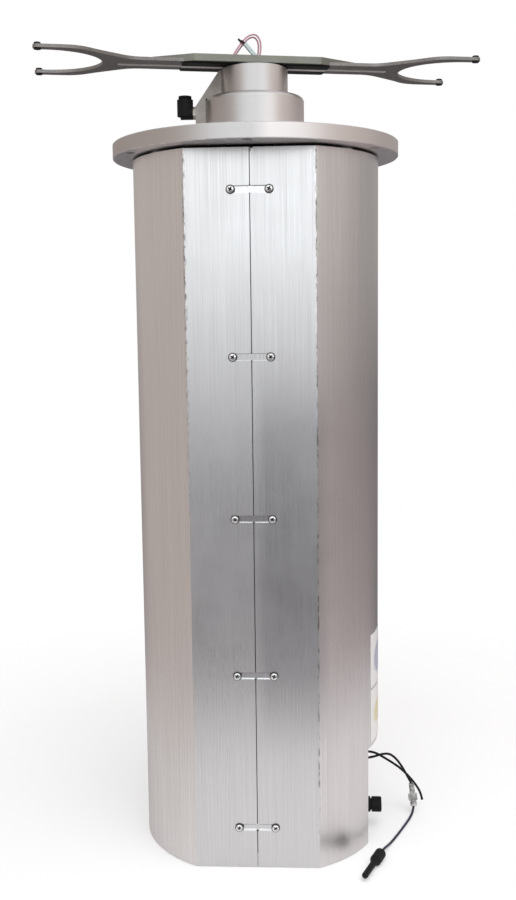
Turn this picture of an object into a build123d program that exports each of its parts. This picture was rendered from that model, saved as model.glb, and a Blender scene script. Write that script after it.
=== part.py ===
from build123d import *

import math
import os

# Wafer handling robot: a tall round housing with a flat front facet hangs from a wide mounting
# flange.  A column lifts the stepped head out of the flange, and a spindle in the head turns a
# thin double-ended fork blade.  Millimetres, +Z up, origin at the middle of the base plate's foot.

# ---- driving dimensions -------------------------------------------------------------------

# housing
BODY_R = 120.6
FACET_Y = 104.7
COVER_T = 2.0
COVER_TOP = 680.5
COVER_FOOT = 1.0
SEAM_GAP = 0.8
BASE_T = 14.0
COVER_FIT = 0.3
NOTCH_W = 2.4
NOTCH_DEEP = 4.0

# cover fasteners
SCREW_ROWS = 5
SCREW_ROW_FOOT = 40.5
SCREW_ROW_PITCH = 150.75
SCREW_X = 17.5
SLOT_H = 6.0
SLOT_CORNER = 1.6
PAN_HEAD_R = 4.15
PAN_HEAD_H = 2.6
PAN_SHANK_R = 2.0
PAN_SHANK_L = 9.0
CROSS_W = 1.0
CROSS_DEEP = 1.3

# cable cut-out in the right cover
CUTOUT_TOP = 99.0
CUTOUT_FRONT = 52.3
CUTOUT_REAR = 58.0

# plain stickers above the cut-out
LABEL_T = 0.3
LABEL_LIFT = 4.0
LABEL_H = 54.0
LABEL_GAP = 3.0
LABEL_FRONT = 46.0
LABEL_REAR = 8.0

# mounting flange
FLANGE_GAP = 2.4
FLANGE_R = 140.0
FLANGE_T = 13.9
FLANGE_PCD = 262.0
FLANGE_HOLES = 6
FLANGE_HOLE_R = 4.5
FLANGE_EDGE = 0.7
SEAL_DEEP = 6.0
SEAL_W = 5.0

# posts and spine
POST_HALF = 22.0
POST_T = 10.0
SIDE_POST_R = 8.0
SIDE_POST_X = 86.0
SIDE_POST_Y = -62.0
SPINE_HALF = 60.0
SPINE_FRONT = 88.0
SPINE_T = 12.0

# socket head screws that join the posts to the base and the flange
CAP_HEAD_R = 5.0
CAP_HEAD_H = 6.0
CAP_SHANK_R = 3.0
CAP_SHANK_L = 20.0
CAP_SOCKET_R = 2.9
CAP_SOCKET_DEEP = 3.2
CAP_SUNK = 1.0

# linear guide
RAIL_X = 34.0
RAIL_W = 15.0
RAIL_T = 12.0
RAIL_BOLT_PITCH = 60.0
RAIL_BOLT_END = 20.0
RAIL_BOLT_SUNK = 5.0
BLOCK_W = 34.0
BLOCK_L = 56.0
BLOCK_T = 20.0
BLOCK_LIFT = 4.0
BLOCK_GAP = 32.0
GUIDE_FIT = 0.3

# column, head and spindle
COLUMN_R = 40.0
COLUMN_WALL = 7.0
COLUMN_FIT = 0.3
COLUMN_RIM_W = 10.0
COLUMN_SCREW_HEAD = 3.4
COLUMN_FLANGE_T = 10.0
COLUMN_SPIGOT = 20.0
GUIDED_LENGTH = 147.2
HEAD_GAP = 0.4
HEAD_R = 48.2
HEAD_H = 44.8
HEAD_EDGE_R = 4.5
CAP_R = 32.5
CAP_H = 27.6
CAP_EDGE = 0.8
CAP_FOOT_EDGE = 0.5
CAP_SPIGOT = 6.0
SPIGOT_STEP = 4.0
SHAFT_R = 14.0
SHAFT_BORE_R = 6.0
HUB_R = 15.0
HUB_T = 4.9
HUB_STANDS = 0.8
BEARING_T = 16.0
BEARING_SEAT_R = 24.0
RUN_FIT = 0.06
SEAT_FIT = 0.1

# gusset with the push-in elbow
GUSSET_T = 12.0
GUSSET_REACH = 58.1
GUSSET_TOP_X = 34.3
GUSSET_KNEE = 37.6
ELBOW_Z = 32.3
ELBOW_X = 68.9
ELBOW_R = 7.9
ELBOW_TOP = 12.8
ELBOW_FOOT = 3.0
ELBOW_RIBS = 18
STUD_R = 4.5
STUD_HEX = 11.0
NECK_R = 4.0
COLLAR_R = 6.4
COLLAR_H = 3.4
COLLAR_RISE = 1.4
COLLAR_LIP = 1.4
TUBE_R = 2.2
AIR_R = 2.0

# drives
MOTOR_SIDE = 57.0
THETA_MOTOR_L = 60.0
THETA_ENCODER_L = 20.0
MOTOR_SHAFT_R = 5.0
MOTOR_CORNER = 5.0
COUPLING_R = 16.0
Z_MOTOR_L = 76.0
Z_MOTOR_FOOT = 30.0
Z_MOTOR_Y = 10.0
BRACKET_T = 8.0
PULLEY_R = 10.0
PULLEY_RIM_R = 11.2
PULLEY_W = 14.0
PULLEY_RIM_T = 1.2
BELT_T = 1.5
BELT_W = 10.0
BELT_FIT = 0.3
SCREW_Y = 75.0
BALL_SCREW_R = 6.0
NUT_R = 10.8
NUT_L = 35.0
SCREW_BLOCK_H = 20.0
SCREW_BLOCK_HALF = 16.0
BUMPER_HALF = 12.0
BUMPER_H = 16.0
BUMPER_FIT = 0.3
SENSOR_H = 12.0
LIFT_CLEARANCE = 70.0
SHELF_T = 16.0
PLATE_T = 12.0
PLATE_HALF = 54.0
SHELF_MARGIN = 4.0
PLATE_DOWN = 60.0
PLATE_UP = 100.0

# arm: the bar that the spindle turns, at rest this far round from the X axis
ARM_REST = 13.3
BLADE_T = 3.0
BLADE_TIP = 212.0
BLADE_HALF = 57.0
SHANK_HALF = 18.5
SHANK_END = 110.0
FLARE_END = 186.0
NOTCH_APEX = 147.5
NOTCH_HALF = 47.5
NOTCH_STRAIGHT = 202.0
BLADE_SPLIT = 1.0
ARM_PLATE_T = 1.4
ARM_PLATE_HALF_L = 72.0
ARM_PLATE_HALF_W = 18.0
ARM_SCREW_R = 1.5
ARM_SCREW_HEAD_R = 2.9
ARM_SCREW_SUNK = 1.8
HUB_SCREW_PCR = 10.5
CLAMP_T = 3.5
CLAMP_HALF = 23.5
CLAMP_FLAT = 62.0
CLAMP_END = 100.0
CLAMP_FIT = 0.3
STRIP_HALF = 1.8
STRIP_ROOT_HALF = 3.6
STRIP_START = 24.0
STRIP_END = 133.0
STRIP_T = 1.0
STRIP_FIT = 0.4
PAD_R = 3.2
PAD_H = 2.2
PAD_IN = 4.3
PAD_PIN_R = 1.5
PAD_FOOT_T = 1.2
LAND_L = 22.0
LAND_W = 3.0
LAND_T = 0.6

# loose leads at the foot
LEAD_D = 2.5
PANEL_X = 98.0
PANEL_T = 2.0
CONNECTOR_Y = -12.0
CONNECTOR_Z = 23.3
CONNECTOR_R = 7.8
CONNECTOR_REACH = 124.0
BARREL_R = 6.0
SHELL_L = 12.5
RING_GAP = 1.5
RING_RIBS = 20
GROMMET_HALF_W = 5.8
GROMMET_HALF_H = 4.3
GROMMET_LIP = 1.7

# small loop of sensor leads on the arm
LOOP_D = 1.6

# ---- worked out from them -----------------------------------------------------------------

FLANGE_Z = COVER_TOP + FLANGE_GAP
FLANGE_TOP = FLANGE_Z + FLANGE_T
HEAD_Z = FLANGE_TOP + HEAD_GAP
HEAD_TOP = HEAD_Z + HEAD_H
CAP_TOP = HEAD_TOP + CAP_H
INNER_R = BODY_R - COVER_T
INNER_FACET = FACET_Y - COVER_T
BRACKET_Z = Z_MOTOR_FOOT + Z_MOTOR_L
PULLEY_Z = BRACKET_Z + BRACKET_T + 4
PULLEY_TOP = PULLEY_Z + PULLEY_W
SHELF_Z = PULLEY_TOP + LIFT_CLEARANCE + THETA_ENCODER_L + THETA_MOTOR_L
COLUMN_Z = SHELF_Z + SHELF_T
COLUMN_FLANGE_R = COLUMN_R + COLUMN_RIM_W
SHELF_HALF = COLUMN_FLANGE_R + SHELF_MARGIN
STROKE = HEAD_Z - COLUMN_Z - GUIDED_LENGTH
PLATE_BACK = SPINE_FRONT - BLOCK_LIFT - BLOCK_T
PLATE_FRONT = PLATE_BACK - PLATE_T
PLATE_FOOT = COLUMN_Z - PLATE_DOWN
PLATE_TOP = COLUMN_Z + PLATE_UP
RAIL_Z = PLATE_FOOT - 8
RAIL_TOP = PLATE_TOP + STROKE + 2
UPPER_BLOCK_Z = PLATE_TOP + STROKE + 5
LOWER_BLOCK_Z = PULLEY_TOP + 6
ARM_Z = CAP_TOP + HUB_STANDS
BLADE_Z = ARM_Z + ARM_PLATE_T
CLAMP_Z = BLADE_Z + BLADE_T
ARM_TOP = CLAMP_Z + CLAMP_T
GUSSET_X = -GUSSET_REACH
STUD_Z = HEAD_Z + ELBOW_Z
TIP_MID = (BLADE_HALF + NOTCH_HALF) / 2
PANEL_OUT = PANEL_X + PANEL_T
RING_X = PANEL_OUT + SHELL_L + RING_GAP


# ---- helpers ------------------------------------------------------------------------------

def block(x0, x1, y0, y1, z0, z1):
    """Box between two corners."""
    return Pos((x0 + x1) / 2, (y0 + y1) / 2, (z0 + z1) / 2) * Box(x1 - x0, y1 - y0, z1 - z0)


def rod(x, y, z0, z1, radius):
    """Upright cylinder."""
    return Pos(x, y, (z0 + z1) / 2) * Cylinder(radius, z1 - z0)


def ring(x, y, z0, z1, outer, inner):
    """Upright tube."""
    return rod(x, y, z0, z1, outer) - rod(x, y, z0 - 1, z1 + 1, inner)


def rod_x(y, z, x0, x1, radius):
    """Cylinder lying along X."""
    return Pos((x0 + x1) / 2, y, z) * Rot(0, 90, 0) * Cylinder(radius, x1 - x0)


def rod_y(x, z, y0, y1, radius):
    """Cylinder lying along Y."""
    return Pos(x, (y0 + y1) / 2, z) * Rot(90, 0, 0) * Cylinder(radius, y1 - y0)


def on_arm(shape):
    """Turn a piece made along X round to where the bar rests."""
    return Rot(0, 0, ARM_REST) * shape


def turned_end(shape):
    """The same piece on the bar's other end."""
    return Rot(0, 0, 180) * shape


def facet_disc(radius, facet, z0, z1):
    """Disc with the housing's flat front."""
    return rod(0, 0, z0, z1, radius) - block(-radius, radius, -radius - 1, -facet, z0 - 1, z1 + 1)


def polar(count, radius, start=0.0):
    """Points evenly round a circle."""
    turns = [math.radians(start + 360 * i / count) for i in range(count)]
    return [(radius * math.cos(t), radius * math.sin(t)) for t in turns]


def cord(points, diameter, name):
    """Tube of straight runs and tangent arcs, each arc as large as its two runs allow."""
    spots = [Vector(*p) for p in points]
    radii = []
    for before, here, after in zip(spots, spots[1:], spots[2:]):
        turn = math.radians((here - before).get_angle(after - here))
        shorter = min((here - before).length, (after - here).length)
        radii.append(0.45 * shorter / math.tan(turn / 2))
    path = FilletPolyline(*spots, radius=radii)
    section = Plane(origin=path @ 0, z_dir=path % 0) * Circle(diameter / 2)
    tube = sweep(section, path=path)
    expected = math.pi * (diameter / 2) ** 2 * path.length
    print(name, "length", round(path.length, 1), "radii", [round(r, 1) for r in radii],
          "volume ratio", round(tube.volume / expected, 4))
    return tube


# ---- frame --------------------------------------------------------------------------------

def joining_points():
    """Where screws join the flange and the base to the posts and the spine."""
    spots = [(side * POST_HALF / 2, -(INNER_FACET - POST_T / 2)) for side in (-1, 1)]
    spots += [(side * SIDE_POST_X, SIDE_POST_Y) for side in (-1, 1)]
    spots += [(side * SPINE_HALF * 0.75, SPINE_FRONT + SPINE_T / 2) for side in (-1, 1)]
    return spots


def joining_holes():
    """Tapped holes in both ends of the posts and the spine."""
    holes = []
    for x, y in joining_points():
        holes.append(rod(x, y, 0, BASE_T + CAP_SHANK_L, CAP_SHANK_R + SEAT_FIT))
        holes.append(rod(x, y, FLANGE_Z - CAP_SHANK_L, FLANGE_TOP, CAP_SHANK_R + SEAT_FIT))
    return Compound(children=holes)


def base_plate():
    """Foot plate, cut off straight behind the cut-out where the connector panel stands."""
    plate = facet_disc(INNER_R - COVER_FIT, INNER_FACET - COVER_FIT, 0, BASE_T)
    for x, y in joining_points():
        plate -= rod(x, y, -1, BASE_T + 1, CAP_SHANK_R + SEAT_FIT)
        plate -= rod(x, y, -1, CAP_HEAD_H + CAP_SUNK, CAP_HEAD_R + COVER_FIT)
    return plate - block(PANEL_OUT, BODY_R, -CUTOUT_FRONT, CUTOUT_REAR, -1, BASE_T + 1)


def front_post():
    post = block(-POST_HALF, POST_HALF, -INNER_FACET, -INNER_FACET + POST_T, BASE_T, FLANGE_Z)
    for x, z in cover_screw_points():
        post -= rod_y(x, z, -INNER_FACET - 1, -INNER_FACET + POST_T - 1, PAN_SHANK_R + SEAT_FIT)
    return post - joining_holes()


def rear_spine():
    spine = block(-SPINE_HALF, SPINE_HALF, SPINE_FRONT, SPINE_FRONT + SPINE_T, BASE_T, FLANGE_Z)
    for x, z in rail_bolt_points():
        spine -= rod_y(x, z, SPINE_FRONT - 1, SPINE_FRONT + SPINE_T - 2, PAN_SHANK_R + SEAT_FIT)
    return spine - joining_holes()


def side_posts():
    posts = [rod(s * SIDE_POST_X, SIDE_POST_Y, BASE_T, FLANGE_Z, SIDE_POST_R) for s in (-1, 1)]
    return [post - joining_holes() for post in posts]


def mounting_flange():
    flange = rod(0, 0, FLANGE_Z, FLANGE_TOP, FLANGE_R)
    flange = chamfer(flange.edges().filter_by(GeomType.CIRCLE), FLANGE_EDGE)
    flange -= rod(0, 0, FLANGE_Z - 1, FLANGE_TOP + 1, COLUMN_R + 1)
    flange -= rod(0, 0, FLANGE_Z - 1, FLANGE_Z + SEAL_DEEP, COLUMN_R + 1 + SEAL_W)
    for x, y in polar(FLANGE_HOLES, FLANGE_PCD / 2, 30):
        flange -= rod(x, y, FLANGE_Z - 1, FLANGE_TOP + 1, FLANGE_HOLE_R)
    for x, y in joining_points():
        flange -= rod(x, y, FLANGE_Z - 1, FLANGE_TOP + 1, CAP_SHANK_R + SEAT_FIT)
        flange -= rod(x, y, FLANGE_TOP - CAP_HEAD_H - CAP_SUNK, FLANGE_TOP + 1, CAP_HEAD_R + COVER_FIT)
    return flange


def column_seal():
    """Wiper in the flange's recess, round the column."""
    outer = COLUMN_R + 1 + SEAL_W - 2 * SEAT_FIT
    return ring(0, 0, FLANGE_Z, FLANGE_Z + SEAL_DEEP - 2 * SEAT_FIT, outer, COLUMN_R + COLUMN_FIT)


def cap_screw(x, y, seat, tip):
    """Socket head screw whose head sits on seat and whose shank points at tip."""
    way = 1 if tip > seat else -1
    face = seat - way * CAP_HEAD_H
    head = rod(x, y, min(seat, face), max(seat, face), CAP_HEAD_R)
    shank = rod(x, y, min(seat, tip), max(seat, tip), CAP_SHANK_R)
    hexagon = Plane(origin=(x, y, face), z_dir=(0, 0, way)) * RegularPolygon(CAP_SOCKET_R, 6)
    return head + shank - extrude(hexagon, CAP_SOCKET_DEEP)


def socket_screws():
    """Screws of the frame's corners, from below and from above, with those of the rails."""
    screws = []
    low = CAP_HEAD_H + CAP_SUNK
    high = FLANGE_TOP - low
    for x, y in joining_points():
        screws.append(cap_screw(x, y, low, low + CAP_SHANK_L))
        screws.append(cap_screw(x, y, high, high - CAP_SHANK_L))
    return screws + rail_screws()


# ---- covers -------------------------------------------------------------------------------

def cover_screw_points():
    rows = [SCREW_ROW_FOOT + SCREW_ROW_PITCH * i for i in range(SCREW_ROWS)]
    return [(side * SCREW_X, z) for z in rows for side in (-1, 1)]


def cover_shell(side):
    """Half of the sheet housing, from the front seam round to the rear one."""
    shell = facet_disc(BODY_R, FACET_Y, COVER_FOOT, COVER_TOP)
    shell -= facet_disc(INNER_R, INNER_FACET, COVER_FOOT - 1, COVER_TOP + 1)
    far = BODY_R + 1
    keep = block(SEAM_GAP / 2, far, -far, far, COVER_FOOT - 1, COVER_TOP + 1)
    if side < 0:
        keep = mirror(keep, about=Plane.YZ)
    shell = shell & keep
    for x, z in cover_screw_points():
        if x * side > 0:
            shell -= cover_slot(side, z)
    return shell


def cover_slot(side, z):
    """Slot from the seam to a screw, with rounded corners where it opens at the seam."""
    half = SLOT_H / 2
    corner = SEAM_GAP / 2 + SLOT_CORNER
    outline = Pos(SCREW_X / 2, 0) * Rectangle(SCREW_X, SLOT_H)
    outline += Pos(SCREW_X, 0) * Circle(half)
    for up in (-1, 1):
        mouth = Pos(corner / 2, up * (half + SLOT_CORNER / 2)) * Rectangle(corner, SLOT_CORNER)
        outline += mouth - Pos(corner, up * (half + SLOT_CORNER)) * Circle(SLOT_CORNER)
    cut = Plane(origin=(0, -FACET_Y - 1, z), x_dir=(side, 0, 0), z_dir=(0, side, 0)) * outline
    return extrude(cut, COVER_T + 2, dir=(0, 1, 0))


def cover_left():
    return cover_shell(-1)


def cover_right():
    """Right half, with the cable cut-out at its foot and a small notch at the top of the seam."""
    shell = cover_shell(1)
    outlet = block(BODY_R / 2, BODY_R + 2, -CUTOUT_FRONT, CUTOUT_REAR, -1, CUTOUT_TOP)
    side = SEAM_GAP + NOTCH_W
    notch = block(SEAM_GAP, side, -FACET_Y - 1, 1 - INNER_FACET, COVER_TOP - NOTCH_DEEP, COVER_TOP + 1)
    return shell - outlet - notch


def cover_screws():
    """Pan head screws with a cross recess."""
    screws = []
    for x, z in cover_screw_points():
        seat = -FACET_Y
        head = rod_y(x, z, seat - PAN_HEAD_H, seat, PAN_HEAD_R)
        rim = head.edges().filter_by(GeomType.CIRCLE).sort_by(Axis.Y)[0]
        head = fillet(rim, PAN_HEAD_H * 0.8)
        shank = rod_y(x, z, seat, seat + PAN_SHANK_L, PAN_SHANK_R)
        arm = PAN_HEAD_R * 0.55
        half = CROSS_W / 2
        face = seat - PAN_HEAD_H
        recess = block(x - arm, x + arm, face - 1, face + CROSS_DEEP, z - half, z + half)
        recess += block(x - half, x + half, face - 1, face + CROSS_DEEP, z - arm, z + arm)
        screws.append(head + shank - recess)
    return screws


def label_blanks():
    """Two plain stickers one above the other on the right cover."""
    labels = []
    for i in range(2):
        foot = CUTOUT_TOP + LABEL_LIFT + i * (LABEL_H + LABEL_GAP)
        skin = ring(0, 0, foot, foot + LABEL_H, BODY_R + 0.05 + LABEL_T, BODY_R + 0.05)
        labels.append(skin & block(0, 2 * BODY_R, -LABEL_FRONT, LABEL_REAR, foot, foot + LABEL_H))
    return labels


# ---- connector end ------------------------------------------------------------------------

def connector_panel():
    """Upright sheet behind the cut-out, with a foot turned in over the base plate."""
    panel = block(PANEL_X, PANEL_OUT, -CUTOUT_FRONT - 2, CUTOUT_REAR + 2, BASE_T, CUTOUT_TOP + 6)
    panel += block(PANEL_X - 16, PANEL_X, 8 - CUTOUT_FRONT, CUTOUT_REAR - 6, BASE_T, BASE_T + PANEL_T)
    panel -= rod_x(CONNECTOR_Y, CONNECTOR_Z, PANEL_X - 2, PANEL_X + 4, BARREL_R + SEAT_FIT)
    y, z = GROMMET_SPOT
    wide = GROMMET_HALF_W + 2 * SEAT_FIT
    tall = GROMMET_HALF_H + 2 * SEAT_FIT
    return panel - block(PANEL_X - 2, PANEL_X + 4, y - wide, y + wide, z - tall, z + tall)


def connector_shell():
    """Panel receptacle: a barrel through the panel with a wide collar in front of it."""
    shell = rod_x(CONNECTOR_Y, CONNECTOR_Z, PANEL_X - 8, RING_X, BARREL_R)
    shell += rod_x(CONNECTOR_Y, CONNECTOR_Z, PANEL_OUT, PANEL_OUT + SHELL_L, CONNECTOR_R)
    return shell - rod_x(CONNECTOR_Y, CONNECTOR_Z, RING_X - 9, RING_X + 1, BARREL_R - 1.6)


def connector_ring():
    """Ribbed cap that closes the receptacle."""
    cap = rod_x(CONNECTOR_Y, CONNECTOR_Z, RING_X, CONNECTOR_REACH, CONNECTOR_R)
    cap = chamfer(cap.edges().filter_by(GeomType.CIRCLE).sort_by(Axis.X)[-1], 0.8)
    for y, z in polar(RING_RIBS, CONNECTOR_R + 0.15):
        cap -= rod_x(CONNECTOR_Y + y, CONNECTOR_Z + z, RING_X + 1, CONNECTOR_REACH - 1.2, 0.5)
    return cap


def lead_grommet():
    """Rubber grommet in the panel with one hole for each loose lead."""
    y, z = GROMMET_SPOT
    wide = GROMMET_HALF_W
    tall = GROMMET_HALF_H
    body = block(PANEL_X - 2, PANEL_OUT + 3, y - wide, y + wide, z - tall, z + tall)
    wide += GROMMET_LIP
    tall += GROMMET_LIP
    lip = block(PANEL_OUT + SEAT_FIT, PANEL_OUT + 2.4, y - wide, y + wide, z - tall, z + tall)
    body += fillet(lip.edges().filter_by(Axis.X), 3)
    for lead in (LONG_ROUTE, SHORT_ROUTE):
        body -= rod_x(lead[0][1], lead[0][2], lead[0][0] - 2.5, lead[0][0] + 1, LEAD_D / 2 + 0.3)
    return body


# The loose leads: two leave the grommet, one is spliced to a third that ends in a small plug.
GROMMET_SPOT = (25.0, 62.0)
LONG_ROUTE = [(103.0, 28.0, 64.0), (112.0, 28.0, 64.4), (121.0, 27.6, 62.6), (130.0, 27.6, 57.0),
              (140.4, 27.6, 50.6), (149.6, 27.4, 43.4), (157.6, 27.0, 35.0), (164.4, 26.0, 26.4),
              (168.6, 24.8, 19.0), (169.8, 24.0, 12.4)]
SHORT_ROUTE = [(103.0, 22.0, 59.4), (111.0, 22.0, 59.2), (119.0, 21.8, 61.2), (127.0, 21.8, 64.0),
               (134.6, 21.8, 64.4), (141.0, 22.0, 59.6), (147.2, 22.2, 51.4), (152.6, 22.2, 41.6),
               (158.0, 22.0, 31.4)]
TAIL_ROUTE = [(160.4, 18.6, 8.4), (159.2, 13.6, 4.7), (156.6, 6.2, 2.5), (152.6, -3.6, 1.5),
              (146.8, -17.8, 1.4), (139.6, -35.0, 1.4), (131.6, -53.0, 1.5), (127.2, -63.4, 3.1),
              (123.4, -73.4, 5.6), (119.8, -82.6, 5.6)]


def lead_long():
    return cord(LONG_ROUTE, LEAD_D, "lead_long")


def lead_short():
    return cord(SHORT_ROUTE, LEAD_D, "lead_short")


def lead_tail():
    return cord(TAIL_ROUTE, LEAD_D, "lead_tail")


def lead_splice():
    """In-line splice, a flat sleeve with a wing on each side, standing on the tail's end."""
    top = Vector(*SHORT_ROUTE[-1])
    foot = Vector(*TAIL_ROUTE[0])
    axis = (top - foot).normalized()
    length = (top - foot).length
    lie = Plane(origin=foot, x_dir=(1, 0, 0.12), z_dir=axis)
    sleeve = extrude(lie * RectangleRounded(5.6, 5.0, 1.6), length)
    collar = extrude(lie * RectangleRounded(6.8, 5.8, 1.8), length * 0.16)
    wing = extrude(lie.offset(length * 0.24) * RectangleRounded(9.4, 2.6, 1.0), length * 0.3)
    return sleeve + collar + wing


def lead_plug():
    """Small moulded plug lying on the floor: a barrel, a shoulder and a thin nose."""
    end = Vector(*TAIL_ROUTE[-1])
    way = (end - Vector(*TAIL_ROUTE[-2])).normalized()
    flat = Vector(way.X, way.Y, 0).normalized()
    plane = Plane(origin=end, x_dir=flat, z_dir=Vector(0, 0, 1))
    with BuildSketch() as half:
        with BuildLine():
            rim = 5.5
            nose = 3.0
            slant = nose * math.sqrt(0.5)
            Polyline((0, 0), (0, rim - 1.6), (1.8, rim), (17, rim), (23.5, nose), (48, nose))
            ThreePointArc((48, nose), (48 + slant, slant), (48 + nose, 0))
            Line((48 + nose, 0), (0, 0))
        make_face()
    body = revolve(half.sketch, axis=Axis.X)
    return plane * body


# ---- lift drive ---------------------------------------------------------------------------

def rail_bolt_points():
    count = int((RAIL_TOP - RAIL_Z - 2 * RAIL_BOLT_END) // RAIL_BOLT_PITCH) + 1
    rows = [RAIL_Z + RAIL_BOLT_END + RAIL_BOLT_PITCH * i for i in range(count)]
    return [(side * RAIL_X, z) for z in rows for side in (-1, 1)]


def guide_rails():
    rails = []
    front = SPINE_FRONT - RAIL_T
    for side in (-1, 1):
        x = side * RAIL_X
        rail = block(x - RAIL_W / 2, x + RAIL_W / 2, front, SPINE_FRONT, RAIL_Z, RAIL_TOP)
        for bolt_x, z in rail_bolt_points():
            if bolt_x * side > 0:
                rail -= rod_y(bolt_x, z, front - 1, SPINE_FRONT + 1, PAN_SHANK_R + SEAT_FIT)
                rail -= rod_y(bolt_x, z, front - 1, front + RAIL_BOLT_SUNK, PAN_HEAD_R)
        rails.append(rail)
    return rails


def rail_screws():
    screws = []
    seat = SPINE_FRONT - RAIL_T + RAIL_BOLT_SUNK
    for x, z in rail_bolt_points():
        head = rod_y(x, z, seat - 4, seat, PAN_HEAD_R - 0.4)
        screws.append(head + rod_y(x, z, seat, SPINE_FRONT + SPINE_T - 4, PAN_SHANK_R))
    return screws


def z_motor():
    half = MOTOR_SIDE / 2
    motor = block(-half, half, Z_MOTOR_Y - half, Z_MOTOR_Y + half, Z_MOTOR_FOOT, BRACKET_Z)
    motor = chamfer(motor.edges().filter_by(Axis.Z), MOTOR_CORNER)
    return motor - rod(0, Z_MOTOR_Y, BRACKET_Z - 16, BRACKET_Z + 1, MOTOR_SHAFT_R + RUN_FIT)


def z_motor_bracket():
    half = MOTOR_SIDE / 2 + 6
    front = Z_MOTOR_Y - MOTOR_SIDE / 2 - 4
    plate = block(-half, half, front, SPINE_FRONT, BRACKET_Z, BRACKET_Z + BRACKET_T)
    plate += block(-half, half, SPINE_FRONT - BRACKET_T, SPINE_FRONT, BRACKET_Z - 36, BRACKET_Z)
    plate -= rod(0, Z_MOTOR_Y, BRACKET_Z - 1, BRACKET_Z + BRACKET_T + 1, MOTOR_SHAFT_R + 4)
    return plate - rod(0, SCREW_Y, BRACKET_Z - 1, BRACKET_Z + BRACKET_T + 1, BALL_SCREW_R + 2)


def pulley(y, bore):
    wheel = rod(0, y, PULLEY_Z, PULLEY_TOP, PULLEY_R)
    wheel += rod(0, y, PULLEY_Z, PULLEY_Z + PULLEY_RIM_T, PULLEY_RIM_R)
    wheel += rod(0, y, PULLEY_TOP - PULLEY_RIM_T, PULLEY_TOP, PULLEY_RIM_R)
    return wheel - rod(0, y, PULLEY_Z - 1, PULLEY_TOP + 1, bore + SEAT_FIT)


def z_motor_pulley():
    """The motor's shaft and the pulley clamped on it."""
    shaft = rod(0, Z_MOTOR_Y, BRACKET_Z - 14, PULLEY_TOP + 2, MOTOR_SHAFT_R)
    return [shaft, pulley(Z_MOTOR_Y, MOTOR_SHAFT_R)]


def screw_pulley():
    return pulley(SCREW_Y, BALL_SCREW_R)


def z_belt():
    """Closed belt round both pulleys, which are the same size."""
    middle = (Z_MOTOR_Y + SCREW_Y) / 2
    span = SCREW_Y - Z_MOTOR_Y
    inner = PULLEY_R + BELT_FIT
    band = SlotCenterToCenter(span, 2 * (inner + BELT_T), rotation=90)
    band -= SlotCenterToCenter(span, 2 * inner, rotation=90)
    return Pos(0, middle, (PULLEY_Z + PULLEY_TOP) / 2 - BELT_W / 2) * extrude(band, BELT_W)


def ball_screw():
    return rod(0, SCREW_Y, BRACKET_Z + BRACKET_T + 1, UPPER_BLOCK_Z + SCREW_BLOCK_H - 3, BALL_SCREW_R)


def screw_block(z):
    half = SCREW_BLOCK_HALF
    shape = block(-half, half, SCREW_Y - 13, SPINE_FRONT, z, z + SCREW_BLOCK_H)
    shape = chamfer(shape.edges().filter_by(Axis.Z).group_by(Axis.Y)[0], 3)
    return shape - rod(0, SCREW_Y, z - 1, z + SCREW_BLOCK_H + 1, BALL_SCREW_R + RUN_FIT)


def screw_block_lower():
    return screw_block(LOWER_BLOCK_Z)


def screw_block_upper():
    return screw_block(UPPER_BLOCK_Z)


def stop_bumper():
    """Rubber stop under the carriage's rear shelf, round the screw and fixed to the spine."""
    top = SHELF_Z - BUMPER_FIT
    foot = top - BUMPER_H
    body = block(-BUMPER_HALF, BUMPER_HALF, SCREW_Y - 9, SPINE_FRONT, foot, top)
    return body - rod(0, SCREW_Y, foot - 1, top + 1, BALL_SCREW_R + 1.5)


def home_sensor():
    """Fork sensor on the spine that the carriage's flag drops into."""
    z0 = PLATE_FOOT
    z1 = z0 + SENSOR_H
    back = SPINE_FRONT
    body = block(-SPINE_HALF, -SPINE_HALF + 8, back - 4, back, z0, z1)
    body += block(-SPINE_HALF, -SPINE_HALF + 2.2, back - 14, back - 4, z0, z1)
    return body + block(-SPINE_HALF + 4.8, -SPINE_HALF + 8, back - 14, back - 4, z0, z1)


# ---- lift ---------------------------------------------------------------------------------

def block_rows():
    lower = COLUMN_Z - (PLATE_DOWN - 8)
    return [lower, lower + BLOCK_L + BLOCK_GAP]


def rail_blocks():
    blocks = []
    for side in (-1, 1):
        for z in block_rows():
            x = side * RAIL_X
            back = SPINE_FRONT - BLOCK_LIFT
            slot = RAIL_W / 2 + GUIDE_FIT
            bed = SPINE_FRONT - RAIL_T - GUIDE_FIT
            shape = block(x - BLOCK_W / 2, x + BLOCK_W / 2, back - BLOCK_T, back, z, z + BLOCK_L)
            shape -= block(x - slot, x + slot, bed, back + 1, z - 1, z + BLOCK_L + 1)
            blocks.append(shape)
    return blocks


def column_screw_points():
    return polar(6, COLUMN_R + COLUMN_RIM_W / 2)


def carriage():
    """Upright plate on the rail blocks with a shelf that carries the column and the turning motor."""
    plate = block(-PLATE_HALF, PLATE_HALF, PLATE_FRONT, PLATE_BACK, PLATE_FOOT, PLATE_TOP)
    shelf = block(-SHELF_HALF, SHELF_HALF, -COLUMN_FLANGE_R, PLATE_FRONT, SHELF_Z, COLUMN_Z)
    shelf = fillet(shelf.edges().filter_by(Axis.Z).group_by(Axis.Y)[0], 20)
    ledge = block(-NUT_R - 4, NUT_R + 4, PLATE_BACK, SCREW_Y + NUT_R, SHELF_Z, COLUMN_Z)
    body = plate + shelf + ledge
    body -= rod(0, 0, SHELF_Z - 1, COLUMN_Z + 1, COUPLING_R + 6)
    body -= rod(0, SCREW_Y, SHELF_Z - 1, COLUMN_Z + 1, BALL_SCREW_R + 1)
    for x, y in column_screw_points():
        body -= rod(x, y, COLUMN_Z - 10, COLUMN_Z + 1, PAN_SHANK_R + SEAT_FIT)
    return body


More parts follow.
